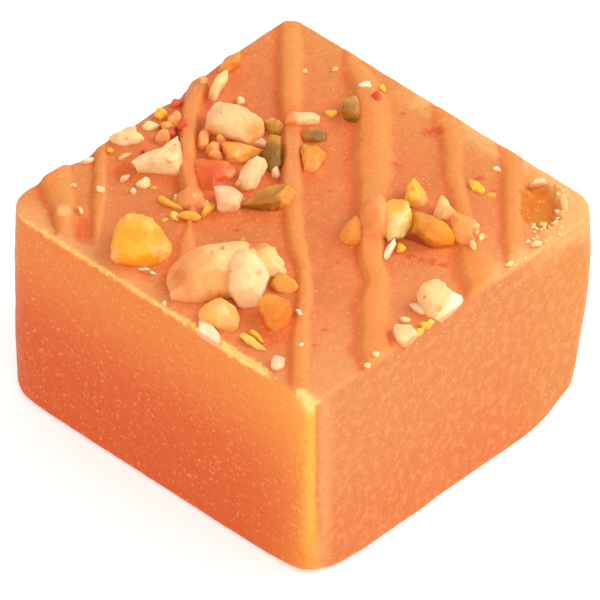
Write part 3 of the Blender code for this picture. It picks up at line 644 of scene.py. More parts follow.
def lump_mesh(outline, lean, bulge, depth, flat, seed, planes, rough, levels, lift=0.0):
    """Points and faces of a chopped piece whose outline is given as seen from the view."""
    tilt = math.radians(lean)
    ring = jagged_ring(outline, seed, rough)
    middle_right = sum(p[0] for p in ring) / len(ring)
    middle_up = sum(p[1] for p in ring) / len(ring)
    stretch = 1.0 / math.sin(RISE + tilt)
    rim = [(a - middle_right, (b - middle_up) * stretch) for a, b in ring]
    height = lift - min(b for a, b in rim) * math.sin(tilt)
    away = (middle_up - height * math.cos(RISE)) / math.sin(RISE)
    middle = on_top(middle_right, away, height)
    lean_way = AWAY * math.cos(tilt) + UP * math.sin(tilt)
    normal = UP * math.cos(tilt) - AWAY * math.sin(tilt)
    rows = list(lump_rows(levels, bulge, depth, flat))
    points = np.array([middle + RIGHT * a * reach + lean_way * b * reach + normal * out
                       for reach, out in rows for a, b in rim])
    middle = np.array(middle)
    normal_row = np.array(normal)
    cut_facets(points, middle, lean_way, normal, planes)
    spread = points - middle
    span = np.maximum(np.linalg.norm(spread, axis=1, keepdims=True), 1e-6)
    size = max(max(abs(a), abs(b)) for a, b in rim)
    bumps = noise_at(points, size * 0.8, seed) * 0.07 * size
    bumps += (noise_at(points, 0.9, seed + 3) + 0.5 * noise_at(points, 0.4, seed + 5)) * rough
    points = points + spread / span * bumps[:, None]
    count = len(rim)
    under = points[:count].mean(axis=0) - normal_row * depth * 0.05
    crown = points[-count:].mean(axis=0) + normal_row * bulge * 0.01
    return np.vstack([points, under, crown]), lump_faces(len(rows), count)


def seen_places(points):
    """Where points are seen: millimetres right of and above the middle of the top face."""
    flat = points - np.array((0.0, 0.0, SLAB_Z))
    return flat @ np.array(RIGHT), flat @ np.array(BACK.cross(RIGHT))


def spread_out(values):
    """Values moved and scaled to reach from -1 to 1."""
    return (values - values.min()) / (np.ptp(values) + 1e-9) * 2.0 - 1.0


def wash_mask(points, seed, angle, start, end):
    """A soft-edged mask over a piece that grows from start to end across it, along an angle."""
    right, above = seen_places(points)
    turn = math.radians(angle)
    along = spread_out(right) * math.cos(turn) + spread_out(above) * math.sin(turn)
    along = along + 0.22 * noise_at(points, 0.9, seed)
    return smooth((along - start) / (end - start))


def dab_mask(points, seed, right_at, above_at, radius):
    """A soft ragged mask about a spot of a piece as it is seen."""
    right, above = seen_places(points)
    reach = np.hypot(right - right_at, above - above_at) / radius
    return smooth((1.3 - reach + 0.5 * noise_at(points, 0.5, seed)) / 1.1)


def shade_of(colour, amount):
    """A colour made lighter (amount above 1) or darker."""
    return tuple(min(255, c * amount) for c in colour)


class Look:
    """A new material, with the shader nodes that its colour and relief need."""

    def __init__(self, name):
        """Start from a plain Principled shader."""
        self.material = bpy.data.materials.new(name)
        self.material.use_nodes = True
        self.tree = self.material.node_tree
        self.shader = self.tree.nodes["Principled BSDF"]
        self.colour = None

    def fill(self, node, inputs):
        """Link a node's inputs to sockets, and set those that are given as plain values."""
        for name, value in inputs.items():
            if isinstance(value, bpy.types.NodeSocket):
                self.tree.links.new(value, node.inputs[name])
            else:
                node.inputs[name].default_value = value

    def node(self, kind, inputs, **settings):
        """The outputs of a new node of a kind."""
        node = self.tree.nodes.new("ShaderNode" + kind)
        for name, value in settings.items():
            setattr(node, name, value)
        self.fill(node, inputs)
        return node.outputs

    def mask(self, name):
        """A mask stored on the mesh."""
        return self.node("Attribute", {}, attribute_name=name)["Fac"]

    def place(self):
        """The place of a point on the piece."""
        return self.node("TexCoord", {})["Object"]

    def combine(self, operation, one, other):
        """Two values joined by an operation."""
        return self.node("Math", {0: one, 1: other}, operation=operation)["Value"]

    def grain(self, scale, detail):
        """A noise texture."""
        return self.node("TexNoise", {"Scale": scale, "Detail": detail, "Vector": self.place()})["Fac"]

    def cloud(self, scale, detail, low, high):
        """A noise texture spread from 0 to 1 between two of its values."""
        inputs = {"From Min": low, "From Max": high, "Value": self.grain(scale, detail)}
        return self.node("MapRange", inputs, interpolation_type="SMOOTHSTEP")["Result"]

    def specks(self, scale, size, share):
        """Small round specks: 1 inside them. Scale sets how close they lie, share how many show."""
        cells = self.node("TexVoronoi", {"Scale": scale, "Vector": self.place()})
        inputs = {"From Min": size, "From Max": size * 0.4, "Value": cells["Distance"]}
        inside = self.node("MapRange", inputs)["Result"]
        draw = self.node("SeparateColor", {"Color": cells["Color"]})["Red"]
        return self.combine("MULTIPLY", inside, self.combine("LESS_THAN", draw, share))

    def blend(self, one, other, amount, blend_type="MIX"):
        """One colour blended into another."""
        inputs = {"Factor": amount, "A": one, "B": other}
        return self.node("Mix", inputs, data_type="RGBA", blend_type=blend_type)["Result"]

    def start(self, colour, dark, pale, scale):
        """Begin with a mottle of a darker and a paler shade of a colour."""
        shades = [linear(shade_of(colour, amount)) for amount in (dark, pale)]
        self.colour = self.blend(*shades, self.cloud(scale, 3.0, 0.35, 0.68))

    def lay(self, tint, cover, strength):
        """Lay a tint over the colour so far, where a cover is 1 and as much as strength says."""
        amount = self.combine("MULTIPLY", cover, strength)
        self.colour = self.blend(self.colour, linear(tint), amount)

    def bump(self, scales, distance, calm=None):
        """Fine relief from noise of several scales and weights, weaker where a calm mask is 1."""
        total = 0.0
        for scale, weight in scales:
            total = self.combine("ADD", total, self.combine("MULTIPLY", self.grain(scale, 3.0), weight))
        if calm:
            keep = self.node("MapRange", {"To Min": 1.0, "To Max": 0.3, "Value": self.mask(calm)})["Result"]
            total = self.combine("MULTIPLY", total, keep)
        bump = self.node("Bump", {"Distance": distance, "Strength": 1.0, "Height": total})["Normal"]
        self.fill(self.shader, {"Normal": bump})


# Layers of the fudge's colour: mask, tint and strength; many are painted light and shade of the faces, the
# edges, the front corner, the hollows, the drizzle and the nuts' surroundings
FUDGE_LAYERS = [
    # Painted glow of light through the translucent top edges
    ("warm_edge", TAN, 0.85),
    ("warm_left", TAN, 0.55),
    ("left_soft", SOFT_EDGE, 0.95),
    ("right_soft", SOFT_EDGE, 0.6),
    ("back_soft", PALE_DROP, 0.85),
    # Painted shade on the left face and painted light on the right face, darker towards the foot
    ("left", LEFT_FACE, 1.0),
    ("left_low", LEFT_LOW, 0.8),
    ("left_high", LEFT_HIGH, 0.95),
    ("right", RIGHT_FACE, 1.0),
    ("right_low", RIGHT_LOW, 0.9),
    ("right_end", RIGHT_END, 0.75),
    ("end_low", END_LOW, 0.7),
    ("high_end", RIM, 0.7),
    ("strip", RIGHT_STRIP, 0.6),
    # Painted shade in the hollows
    ("hollow", HOLLOW_SHADE, 0.7),
    ("shade", STRIPE_SHADE, 0.8),
    ("drizzle", DRIZZLE, 0.9),
    # Painted highlight on the drizzle's lit side and where it is thick
    ("lit", DRIZZLE_LIT, 0.7),
    ("thick", DRIZZLE_LIT, 0.5),
    ("blob", PALE_DROP, 0.95),
    ("rust", RUST, 0.75),
    ("torn", TORN, 0.95),
    ("rim", RIM, 0.8),
    ("shaded", NUT_SHADE, 0.6),
    # Painted glow by the front corner, painted highlight on the pale edge line and on the corner
    ("glow", GLOW, 0.9),
    ("glow_line", GLOW_LINE, 0.8),
    ("pale_edge", PALE_EDGE, 0.95),
    ("corner_highlight_spot", CORNER_HIGHLIGHT, 0.9),
]


def fudge_material():
    """Grainy, slightly translucent milk fudge with its drizzle."""
    look = Look("fudge_look")
    look.start(SALMON, 0.985, 1.03, 900.0)
    for mask, tint, strength in FUDGE_LAYERS:
        look.lay(tint, look.mask(mask), strength)
    look.lay((248, 172, 108), look.cloud(2600.0, 4.0, 0.56, 0.70), 0.30)
    look.lay((212, 78, 26), look.cloud(2200.0, 4.0, 0.58, 0.72), 0.24)
    for low, high, tint, strength in ((0.50, 0.64, (236, 156, 104), 0.22), (0.50, 0.36, (198, 94, 36), 0.2)):
        mottle = look.combine("MULTIPLY", look.cloud(1100.0, 3.0, low, high), look.mask("right"))
        look.lay(tint, mottle, strength)
    for scale, size, share in ((2300.0, 0.28, 0.05), (1300.0, 0.17, 0.045)):
        look.lay((255, 198, 140), look.specks(scale, size, share), 0.55)
    look.fill(look.shader, {
        "Base Color": look.colour,
        "Roughness": 0.52,
        "Specular IOR Level": 0.28,
        "Subsurface Weight": 0.22,
        "Subsurface Radius": (1.0, 0.4, 0.18),
        "Subsurface Scale": 0.0011,
    })
    look.bump([(1300.0, 0.5), (3600.0, 0.5)], 0.00022, calm="drizzle")
    return look.material


def nut_material(name, base, tints, patch, specks, gloss, footed=False):
    """A nut: base colour, tints laid over it by masks, mottled patches, specks and fine relief; a footed one
    also gets painted shade where it is turned from the lamp and painted bounce light from the fudge low down.
    """
    look = Look(name + "_look")
    look.start(base, 0.95, 1.03, 1100.0)
    if patch:
        tint, strength = patch
        look.lay(tint, look.cloud(520.0, 4.0, 0.50, 0.62), strength)
    for index, (tint, strength) in enumerate(tints):
        look.lay(tint, look.mask(f"tint_{index}"), strength)
    if specks:
        tint, share = specks
        look.lay(tint, look.specks(1500.0, 0.22, share), 0.8)
    if footed:
        # Painted shade: darker and warmer where the nut is turned away from the lamp
        turned = look.combine("MULTIPLY", look.mask("turned"), 0.4)
        look.colour = look.blend(look.colour, (1.0, 0.82, 0.56, 1.0), turned, "MULTIPLY")
        # Painted bounce light from the fudge, with a wash of its glaze, low down and on the steep sides
        look.lay(FOOT_BOUNCE, look.mask("foot"), 0.8)
    look.fill(look.shader, {
        "Base Color": look.colour,
        "Roughness": gloss,
        "Specular IOR Level": 0.4,
        "Subsurface Weight": 0.35,
        "Subsurface Radius": (1.0, 0.5, 0.22),
        "Subsurface Scale": 0.001,
    })
    look.bump([(1500.0, 0.6), (4500.0, 0.4)], 0.00016)
    return look.material


# Each chopped nut; its node has its own name where none is given. Shape: lean, bulge, depth, flatness,
# seed and roughness. Planes: angle as seen, rise and share kept. Cuts: how many more facets are drawn at
# random. Washes: tint, angle, start, end and strength; many are painted shade, darker and more orange on
# the side away from the lamp, or painted light, paler on the side towards it, and the rest the nut's own
# colour. Dabs: tint, right, above, radius and strength. Patch: tint and strength. Specks: tint and share.
# Outline: millimetres right of and above the middle of the top face, as seen.
NUT_DEFAULTS = dict(slot="cream_nut", cuts=4, dabs=[], patch=None, specks=None)
NUTS = {
    "cashew_back": dict(
        node="cashew", base=(243, 180, 110), shape=(20, 1.7, 1.8, 0.55, 5, 0.06),
        planes=[(265, 25, 0.84), (100, 50, 0.86)],
        washes=[((242, 166, 106), 190, 0.25, 0.9, 0.8), ((254, 214, 150), 50, 0.1, 0.7, 0.9)],
        dabs=[((232, 126, 54), -11.1, -6.6, 0.9, 0.95), ((234, 136, 64), -10.3, -7.4, 0.7, 0.6),
            ((234, 144, 72), -7.6, -8.4, 0.8, 0.6), ((255, 230, 168), -7.2, -5.0, 1.1, 0.8),
            ((196, 84, 34), -7.3, -3.9, 0.22, 0.9), ((200, 96, 34), -4.7, -3.8, 0.26, 0.9),
            ((206, 104, 44), -8.3, -4.3, 0.16, 0.8)],
        patch=((250, 200, 132), 0.4), specks=((190, 90, 36), 0.12),
        outline=[(-12.6, -6.9), (-12.4, -6.0), (-11.7, -5.0), (-10.6, -4.3), (-9.0, -3.9), (-6.5, -3.5),
            (-4.6, -3.5), (-3.6, -4.4), (-3.2, -5.4), (-3.4, -6.8), (-4.8, -7.9), (-6.5, -8.4), (-8.3, -8.7),
            (-10.6, -9.3), (-12.0, -8.9)],
    ),
    "cashew_broken": dict(
        node="cashew", base=(255, 228, 158), shape=(22, 1.3, 1.6, 0.4, 41, 0.13),
        planes=[(20, 35, 0.7), (100, 45, 0.75)],
        washes=[((240, 164, 80), 120, 0.55, 1.1, 0.7), ((255, 236, 176), 320, 0.0, 0.8, 0.7)],
        dabs=[((224, 130, 56), -3.6, -3.8, 0.4, 0.6)],
        patch=((255, 230, 176), 0.5), specks=((196, 100, 40), 0.08),
        outline=[(-4.6, -3.6), (-3.3, -3.4), (-2.6, -4.0), (-2.2, -4.7), (-1.6, -5.1), (-1.75, -5.6),
            (-1.3, -6.2), (-2.3, -6.4), (-3.2, -6.9), (-4.2, -6.4), (-4.8, -5.2)],
    ),
    "cashew_end": dict(
        node="cashew", base=(254, 231, 178), shape=(30, 1.9, 1.5, 0.6, 6, 0.05),
        planes=[(140, 50, 0.74), (350, 40, 0.8), (60, 62, 0.85)],
        washes=[((252, 206, 142), 190, 0.2, 1.0, 0.85), ((255, 244, 204), 350, 0.0, 0.8, 0.7)],
        dabs=[((240, 160, 80), -4.1, -6.1, 0.35, 0.5), ((220, 120, 50), -6.6, -6.0, 0.2, 0.6)],
        specks=((214, 130, 56), 0.07),
        outline=[(-6.8, -5.1), (-6.4, -4.2), (-5.5, -4.0), (-4.3, -4.6), (-3.4, -5.4), (-3.0, -6.5),
            (-3.4, -7.7), (-4.0, -9.3), (-4.9, -9.9), (-5.9, -9.2), (-6.7, -7.9)],
    ),
    "yellow_nut": dict(
        slot="yellow_nut", base=(250, 179, 24), shape=(28, 1.8, 1.6, 0.55, 8, 0.08),
        planes=[(10, 40, 0.7), (262, 20, 0.84), (120, 55, 0.84)],
        washes=[((236, 136, 40), 262, 0.35, 1.05, 0.8)],
        dabs=[((254, 216, 112), -14.0, -1.6, 0.75, 0.95), ((254, 206, 122), -12.7, -4.2, 1.15, 0.95),
            ((244, 170, 100), -17.4, -4.7, 0.7, 0.9), ((255, 224, 130), -15.9, -1.1, 0.5, 0.7)],
        patch=((252, 197, 52), 0.7), specks=((206, 120, 30), 0.12),
        outline=[(-17.0, -1.8), (-16.2, -1.0), (-14.9, -0.8), (-13.9, -1.1), (-12.9, -2.4), (-11.8, -3.7),
            (-12.2, -5.1), (-13.3, -5.8), (-15.4, -5.8), (-17.0, -5.6), (-17.7, -4.7), (-17.4, -3.1)],
    ),
    "nut_chunk": dict(
        cuts=2, base=(253, 217, 158), shape=(26, 1.8, 1.4, 0.6, 3, 0.06),
        planes=[(320, 40, 0.66), (100, 55, 0.84)],
        washes=[((242, 164, 96), 205, 0.35, 1.0, 0.8), ((254, 218, 166), 80, 0.2, 1.0, 0.6)],
        dabs=[((246, 178, 102), -4.4, 6.9, 0.9, 0.8), ((255, 240, 192), -6.4, 6.9, 0.8, 0.7)],
        patch=((248, 190, 126), 0.5), specks=((204, 100, 44), 0.07),
        outline=[(-9.1, 6.9), (-8.8, 8.5), (-8.0, 9.4), (-6.7, 9.5), (-5.5, 9.1), (-4.6, 8.3), (-3.8, 7.9),
            (-3.4, 6.9), (-3.8, 5.9), (-5.2, 5.6), (-7.0, 6.3)],
    ),
    "nut_wedge": dict(
        base=(255, 232, 182), shape=(22, 1.4, 1.4, 0.3, 12, 0.07), planes=[(266, 25, 0.42), (110, 70, 0.75)],
        washes=[((238, 150, 72), 268, 0.25, 0.8, 0.8), ((255, 236, 194), 140, 0.0, 0.9, 0.6)],
        dabs=[((230, 110, 50), -12.4, 4.1, 0.22, 0.8)],
        patch=((248, 190, 134), 0.5), specks=((226, 120, 60), 0.05),
        outline=[(-15.9, 4.2), (-15.2, 4.7), (-13.0, 5.1), (-11.5, 6.3), (-11.1, 4.3), (-11.4, 2.0),
            (-13.5, 2.2), (-15.3, 3.0)],
    ),
    "almond": dict(
        base=(255, 222, 170), shape=(26, 1.1, 0.9, 0.6, 4, 0.05), planes=[(210, 45, 0.8)],
        washes=[((255, 226, 180), 30, 0.1, 0.9, 0.7), ((240, 160, 96), 240, 0.5, 1.1, 0.8)],
        outline=[(-6.1, 2.0), (-5.7, 3.3), (-5.0, 4.2), (-4.2, 4.6), (-3.5, 4.3), (-3.2, 3.7), (-3.8, 2.5),
            (-4.3, 1.5), (-5.0, 1.2), (-5.8, 1.5)],
    ),
    "peach_nut": dict(
        base=(253, 212, 166), shape=(26, 1.0, 0.9, 0.4, 7, 0.05), planes=[(75, 60, 0.8), (275, 30, 0.75)],
        washes=[((238, 160, 104), 275, 0.3, 1.0, 0.8), ((255, 220, 180), 130, 0.2, 1.0, 0.6)],
        outline=[(-8.2, 1.7), (-7.4, 1.9), (-6.6, 1.8), (-5.5, 1.0), (-5.8, -0.3), (-6.3, -0.9), (-7.3, -0.9),
            (-7.9, -0.4), (-8.0, 0.7)],
    ),
    "coated_lump": dict(
        slot="coated_nut", base=(236, 155, 90), shape=(22, 1.1, 0.9, 0.6, 9, 0.05), planes=[],
        washes=[((232, 126, 60), 262, 0.5, 1.1, 0.7)],
        dabs=[((255, 222, 176), -9.9, 0.9, 0.25, 0.8), ((250, 196, 144), -9.1, 0.0, 0.5, 0.8)],
        outline=[(-11.7, 0.7), (-10.7, 1.5), (-10.1, 1.9), (-9.5, 1.5), (-8.8, 0.2), (-9.4, -0.5),
            (-10.8, -0.5), (-11.6, 0.0)],
    ),
    "candied_red": dict(
        slot="candied", base=(220, 84, 24), shape=(14, 0.8, 0.8, 0.45, 11, 0.14),
        planes=[(120, 60, 0.7), (330, 45, 0.7), (215, 50, 0.75)],
        washes=[((234, 128, 44), 170, 0.1, 0.9, 0.8), ((236, 114, 40), 80, 0.2, 1.0, 0.6)],
        dabs=[((222, 76, 46), -8.3, 3.2, 0.6, 0.7), ((246, 178, 128), -6.6, 3.0, 0.6, 0.95)],
        patch=((202, 58, 12), 0.5), specks=((255, 206, 170), 0.12),
        outline=[(-10.1, 3.9), (-9.7, 4.5), (-8.2, 4.3), (-7.0, 3.9), (-6.0, 3.2), (-6.6, 2.1), (-8.2, 1.5),
            (-9.0, 1.2), (-9.7, 2.5)],
    ),
    "candied_orange": dict(
        slot="golden_nut", base=(249, 178, 78), shape=(14, 0.8, 0.7, 0.4, 13, 0.12),
        planes=[(100, 60, 0.7), (250, 40, 0.7)],
        washes=[((246, 184, 70), 250, 0.1, 0.9, 0.7), ((228, 120, 60), 170, 0.5, 1.2, 0.6)],
        dabs=[((255, 224, 160), -6.1, 4.7, 0.25, 0.7)],
        patch=((250, 196, 110), 0.6), specks=((255, 226, 170), 0.14),
        outline=[(-7.5, 5.9), (-6.1, 5.9), (-4.6, 5.4), (-3.5, 5.2), (-4.1, 4.6), (-5.5, 4.0), (-6.5, 3.4),
            (-7.0, 4.0)],
    ),
    "olive_top": dict(
        slot="pistachio", base=(190, 138, 34), shape=(18, 0.8, 0.7, 0.5, 14, 0.05), planes=[(90, 60, 0.8)],
        washes=[((224, 160, 70), 95, 0.3, 1.0, 0.8), ((118, 88, 22), 290, 0.2, 0.9, 0.85)],
        patch=((160, 120, 32), 0.5),
        outline=[(-3.7, 8.0), (-2.8, 8.1), (-1.9, 7.6), (-1.7, 7.0), (-2.1, 6.4), (-3.0, 6.5), (-3.4, 7.2)],
    ),
    "pistachio_dark": dict(
        slot="pistachio", base=(136, 98, 20), shape=(22, 0.9, 0.8, 0.5, 15, 0.06), planes=[(180, 45, 0.7)],
        washes=[((198, 146, 38), 92, 0.35, 0.8, 0.9), ((98, 66, 20), 265, 0.3, 1.0, 0.7)],
        patch=((146, 110, 26), 0.5),
        outline=[(-3.0, 6.5), (-2.0, 6.3), (-2.0, 3.9), (-2.7, 2.7), (-3.3, 3.4), (-3.6, 4.6), (-3.4, 5.6)],
    ),
    "pistachio_wedge": dict(
        slot="pistachio", base=(168, 108, 24), shape=(30, 1.1, 0.9, 0.35, 16, 0.05),
        planes=[(275, 30, 0.74), (120, 60, 0.72), (350, 45, 0.7)],
        washes=[((223, 149, 34), 352, 0.28, 0.5, 1.0), ((206, 152, 36), 130, 0.15, 0.65, 0.9),
            ((96, 60, 20), 265, 0.25, 0.9, 0.8)],
        dabs=[((240, 120, 30), -2.75, -0.2, 0.22, 0.9)],
        patch=((186, 128, 44), 0.4),
        outline=[(-5.6, -0.1), (-4.4, 1.0), (-3.0, 1.8), (-2.0, 2.1), (-0.3, 1.5), (-0.3, 0.8), (-1.2, -0.4),
            (-2.3, -0.7), (-3.7, -0.6)],
    ),
    "cream_nut": dict(
        base=(255, 222, 164), shape=(22, 0.9, 0.8, 0.4, 17, 0.06), planes=[(100, 60, 0.75), (270, 25, 0.75)],
        washes=[((240, 158, 94), 190, 0.0, 0.5, 0.95), ((255, 226, 184), 40, 0.1, 0.9, 0.6),
            ((244, 176, 120), 268, 0.3, 1.0, 0.7)],
        outline=[(-1.8, 7.4), (-1.5, 8.3), (-1.0, 8.8), (0.0, 8.8), (1.6, 8.3), (1.4, 7.6), (0.2, 7.3),
            (-0.9, 7.1)],
    ),
    "olive_lens": dict(
        slot="pistachio", base=(156, 108, 26), shape=(18, 0.8, 0.7, 0.55, 18, 0.05), planes=[(80, 50, 0.8)],
        washes=[((220, 160, 76), 195, 0.1, 0.8, 0.8), ((206, 150, 60), 88, 0.45, 1.0, 0.8)],
        patch=((112, 84, 20), 0.5),
        outline=[(-0.3, 6.3), (0.1, 7.1), (1.2, 7.2), (2.1, 6.8), (2.2, 6.1), (1.4, 5.7), (0.2, 5.9)],
    ),
    "pistachio_yellow": dict(
        slot="yellow_nut", base=(242, 168, 82), shape=(20, 0.8, 0.8, 0.4, 19, 0.09),
        planes=[(95, 50, 0.7), (270, 35, 0.75)],
        washes=[((216, 158, 34), 78, 0.2, 0.5, 0.95), ((236, 138, 60), 265, 0.5, 1.1, 0.6)],
        dabs=[((214, 130, 44), 0.75, 4.2, 0.3, 0.7)],
        patch=((250, 196, 120), 0.5),
        outline=[(-0.2, 5.9), (0.9, 5.7), (2.3, 5.1), (1.7, 3.9), (1.2, 2.7), (0.2, 2.7), (-0.1, 3.9)],
    ),
    "pistachio_back": dict(
        slot="pistachio", base=(160, 112, 28), shape=(24, 1.0, 0.8, 0.5, 20, 0.08),
        planes=[(100, 50, 0.75), (250, 35, 0.7)],
        washes=[((210, 152, 50), 95, 0.2, 0.8, 0.9), ((92, 70, 16), 268, 0.1, 0.7, 0.9)],
        patch=((196, 140, 60), 0.5),
        outline=[(3.7, 9.6), (4.0, 10.3), (4.7, 10.5), (5.3, 9.5), (5.3, 8.3), (4.8, 7.5), (3.9, 7.8),
            (3.7, 8.7)],
    ),
    "candied_wedge": dict(
        slot="golden_nut", base=(230, 138, 30), shape=(26, 1.1, 1.0, 0.45, 21, 0.09),
        planes=[(330, 45, 0.65), (130, 60, 0.8)],
        washes=[((244, 168, 54), 120, 0.1, 0.9, 0.7), ((232, 112, 52), 340, 0.35, 1.0, 0.8)],
        patch=((232, 124, 36), 0.6), specks=((250, 196, 110), 0.08),
        outline=[(-4.1, -8.9), (-3.4, -8.2), (-2.2, -8.3), (-1.0, -9.0), (-1.0, -10.3), (-1.2, -11.5),
            (-2.2, -11.8), (-3.2, -11.2), (-3.7, -10.2)],
    ),
    "faceted_nut": dict(
        slot="yellow_nut", base=(252, 199, 110), shape=(24, 1.3, 1.1, 0.4, 22, 0.06),
        planes=[(130, 55, 0.66), (20, 45, 0.66), (250, 40, 0.72)],
        washes=[((240, 154, 70), 320, 0.2, 0.9, 0.8), ((250, 176, 66), 190, 0.1, 0.7, 0.8)],
        dabs=[((255, 226, 160), -7.4, -9.5, 0.65, 0.95), ((250, 196, 130), -6.3, -10.6, 0.55, 0.8)],
        patch=((252, 206, 120), 0.5),
        outline=[(-9.6, -9.7), (-8.9, -9.0), (-7.4, -8.6), (-6.1, -9.3), (-5.6, -10.3), (-5.8, -11.4),
            (-6.6, -11.8), (-7.7, -11.3), (-8.7, -10.8), (-9.4, -10.5)],
    ),
    "white_sliver": dict(
        base=(255, 246, 214), shape=(4, 0.7, 0.6, 0.3, 23, 0.04), planes=[(60, 60, 0.7)],
        washes=[((248, 200, 150), 235, 0.6, 1.2, 0.5)],
        outline=[(-9.5, -10.4), (-8.7, -10.4), (-8.1, -11.2), (-7.4, -12.3), (-7.5, -12.8), (-8.4, -12.5),
            (-9.3, -11.9)],
    ),
    "cream_kernel": dict(
        cuts=0, base=(255, 242, 168), shape=(32, 1.5, 1.1, 0.3, 24, 0.12),
        planes=[(100, 58, 0.6), (330, 35, 0.66), (200, 50, 0.7)],
        washes=[((250, 180, 46), 130, 0.0, 0.5, 0.9), ((244, 172, 100), 245, 0.7, 1.2, 0.7),
            ((252, 188, 56), 345, 0.5, 0.85, 0.85)],
        dabs=[((255, 232, 170), 8.4, -1.5, 0.7, 0.8)],
        patch=((254, 214, 112), 0.4), specks=((240, 150, 50), 0.06),
        outline=[(7.2, -0.9), (7.4, 0.2), (8.7, 0.7), (9.7, 0.4), (10.1, -0.8), (10.2, -2.1), (9.1, -3.0),
            (7.9, -3.3), (7.3, -2.4)],
    ),
    "yellow_kernel": dict(
        slot="yellow_nut", base=(253, 202, 58), shape=(28, 1.0, 0.9, 0.45, 25, 0.07),
        planes=[(280, 40, 0.7), (30, 50, 0.8)],
        washes=[((254, 212, 138), 285, 0.1, 0.6, 0.95), ((240, 150, 60), 330, 0.6, 1.1, 0.7)],
        dabs=[((232, 130, 40), 10.1, 1.7, 0.25, 0.8)],
        patch=((252, 204, 90), 0.5),
        outline=[(9.3, -0.1), (9.4, 1.4), (9.7, 2.1), (10.2, 2.5), (10.9, 1.8), (11.6, 0.7), (11.5, -0.1),
            (10.9, -0.4), (10.1, -0.1)],
    ),
    "pistachio_orange": dict(
        slot="golden_nut", base=(236, 149, 46), shape=(20, 1.0, 0.9, 0.5, 26, 0.06), planes=[(200, 45, 0.75)],
        washes=[((208, 150, 76), 120, 0.3, 0.9, 0.7), ((234, 134, 56), 0, 0.0, 0.8, 0.9)],
        outline=[(3.4, -3.0), (3.9, -1.8), (5.0, -0.9), (5.9, -1.4), (6.4, -2.7), (5.9, -3.7), (5.2, -3.9),
            (4.2, -3.6)],
    ),
    "pistachio_gold": dict(
        slot="golden_nut", base=(230, 147, 32), shape=(26, 1.3, 1.1, 0.45, 27, 0.06),
        planes=[(238, 20, 0.6), (60, 60, 0.85)],
        washes=[((246, 172, 40), 40, 0.1, 0.8, 0.7), ((210, 146, 36), 140, 0.3, 0.9, 0.8),
            ((148, 62, 34), 225, 0.15, 0.6, 1.0)],
        patch=((224, 128, 40), 0.5), specks=((250, 190, 80), 0.06),
        outline=[(9.3, -2.9), (10.0, -1.7), (10.1, -0.6), (11.2, -0.7), (12.2, -1.2), (13.4, -1.9),
            (14.1, -2.9), (13.8, -3.6), (12.4, -3.8), (11.2, -4.0), (10.1, -3.7)],
    ),
    "drizzle_lump": dict(
        node="slab", slot="fudge", cuts=0, base=(229, 141, 69), shape=(24, 1.5, 1.2, 0.7, 35, 0.03),
        planes=[],
        washes=[((236, 122, 54), 200, 0.4, 1.1, 0.7), ((248, 178, 110), 30, 0.1, 0.9, 0.7)],
        outline=[(5.0, -1.6), (5.2, -0.3), (6.1, 0.6), (7.2, 0.8), (7.9, 0.0), (8.0, -1.6), (7.6, -2.9),
            (6.8, -3.7), (5.8, -3.5), (5.2, -2.7)],
    ),
    "cream_blade": dict(
        base=(253, 210, 140), shape=(32, 0.8, 0.6, 0.35, 28, 0.05), planes=[(180, 40, 0.7)],
        washes=[((255, 222, 166), 110, 0.1, 0.8, 0.8), ((240, 160, 96), 300, 0.3, 1.0, 0.8)],
        outline=[(11.9, -1.1), (12.3, 0.1), (12.8, 1.0), (13.5, 0.2), (14.0, -0.5), (13.7, -1.5),
            (12.8, -1.5)],
    ),
    "coated_nut": dict(
        slot="coated_nut", base=(246, 166, 84), shape=(22, 1.0, 0.9, 0.45, 29, 0.08),
        planes=[(60, 60, 0.8), (260, 40, 0.7)],
        washes=[((234, 130, 60), 255, 0.4, 1.1, 0.7), ((255, 216, 156), 350, 0.4, 0.75, 0.95)],
        patch=((244, 170, 106), 0.4),
        outline=[(13.5, -1.6), (13.9, -0.4), (14.8, -0.6), (15.7, -1.2), (16.3, -1.8), (15.6, -2.5),
            (15.8, -3.3), (15.3, -4.0), (14.6, -3.6), (13.8, -2.9)],
    ),
    "white_nut": dict(
        base=(255, 224, 161), shape=(30, 1.2, 1.2, 0.4, 30, 0.14), planes=[(200, 50, 0.75), (60, 60, 0.8)],
        washes=[((250, 202, 134), 200, 0.1, 0.8, 0.85), ((255, 248, 216), 340, 0.1, 0.6, 0.95)],
        dabs=[((240, 170, 40), 12.5, -9.4, 0.38, 0.9), ((176, 70, 40), 11.1, -8.3, 0.16, 0.95)],
        patch=((255, 236, 184), 0.5), specks=((240, 170, 90), 0.05),
        outline=[(10.3, -8.4), (10.8, -7.5), (11.7, -6.9), (12.6, -6.8), (13.1, -7.5), (13.5, -7.9),
            (14.1, -8.1), (15.1, -8.4), (14.2, -9.4), (12.8, -10.4), (11.7, -10.2), (10.7, -9.6)],
    ),
    "cream_piece": dict(
        base=(255, 218, 164), shape=(20, 0.8, 0.8, 0.35, 31, 0.05), planes=[(80, 60, 0.75), (260, 30, 0.75)],
        washes=[((255, 226, 180), 60, 0.3, 1.0, 0.6), ((240, 166, 108), 215, 0.3, 1.0, 0.8)],
        outline=[(8.2, -11.7), (8.5, -10.9), (8.8, -10.7), (9.9, -11.0), (10.7, -11.8), (10.5, -12.5),
            (9.1, -12.7), (8.5, -12.3)],
    ),
    "edge_nut": dict(
        base=(255, 228, 176), shape=(16, 0.8, 0.8, 0.3, 32, 0.08), planes=[(100, 60, 0.75), (280, 30, 0.7)],
        washes=[((240, 150, 80), 268, 0.3, 0.9, 0.8)],
        dabs=[((236, 150, 50), -14.8, 5.8, 0.4, 0.9), ((226, 120, 60), -16.3, 6.2, 0.2, 0.7)],
        patch=((248, 190, 130), 0.5), specks=((226, 120, 50), 0.06),
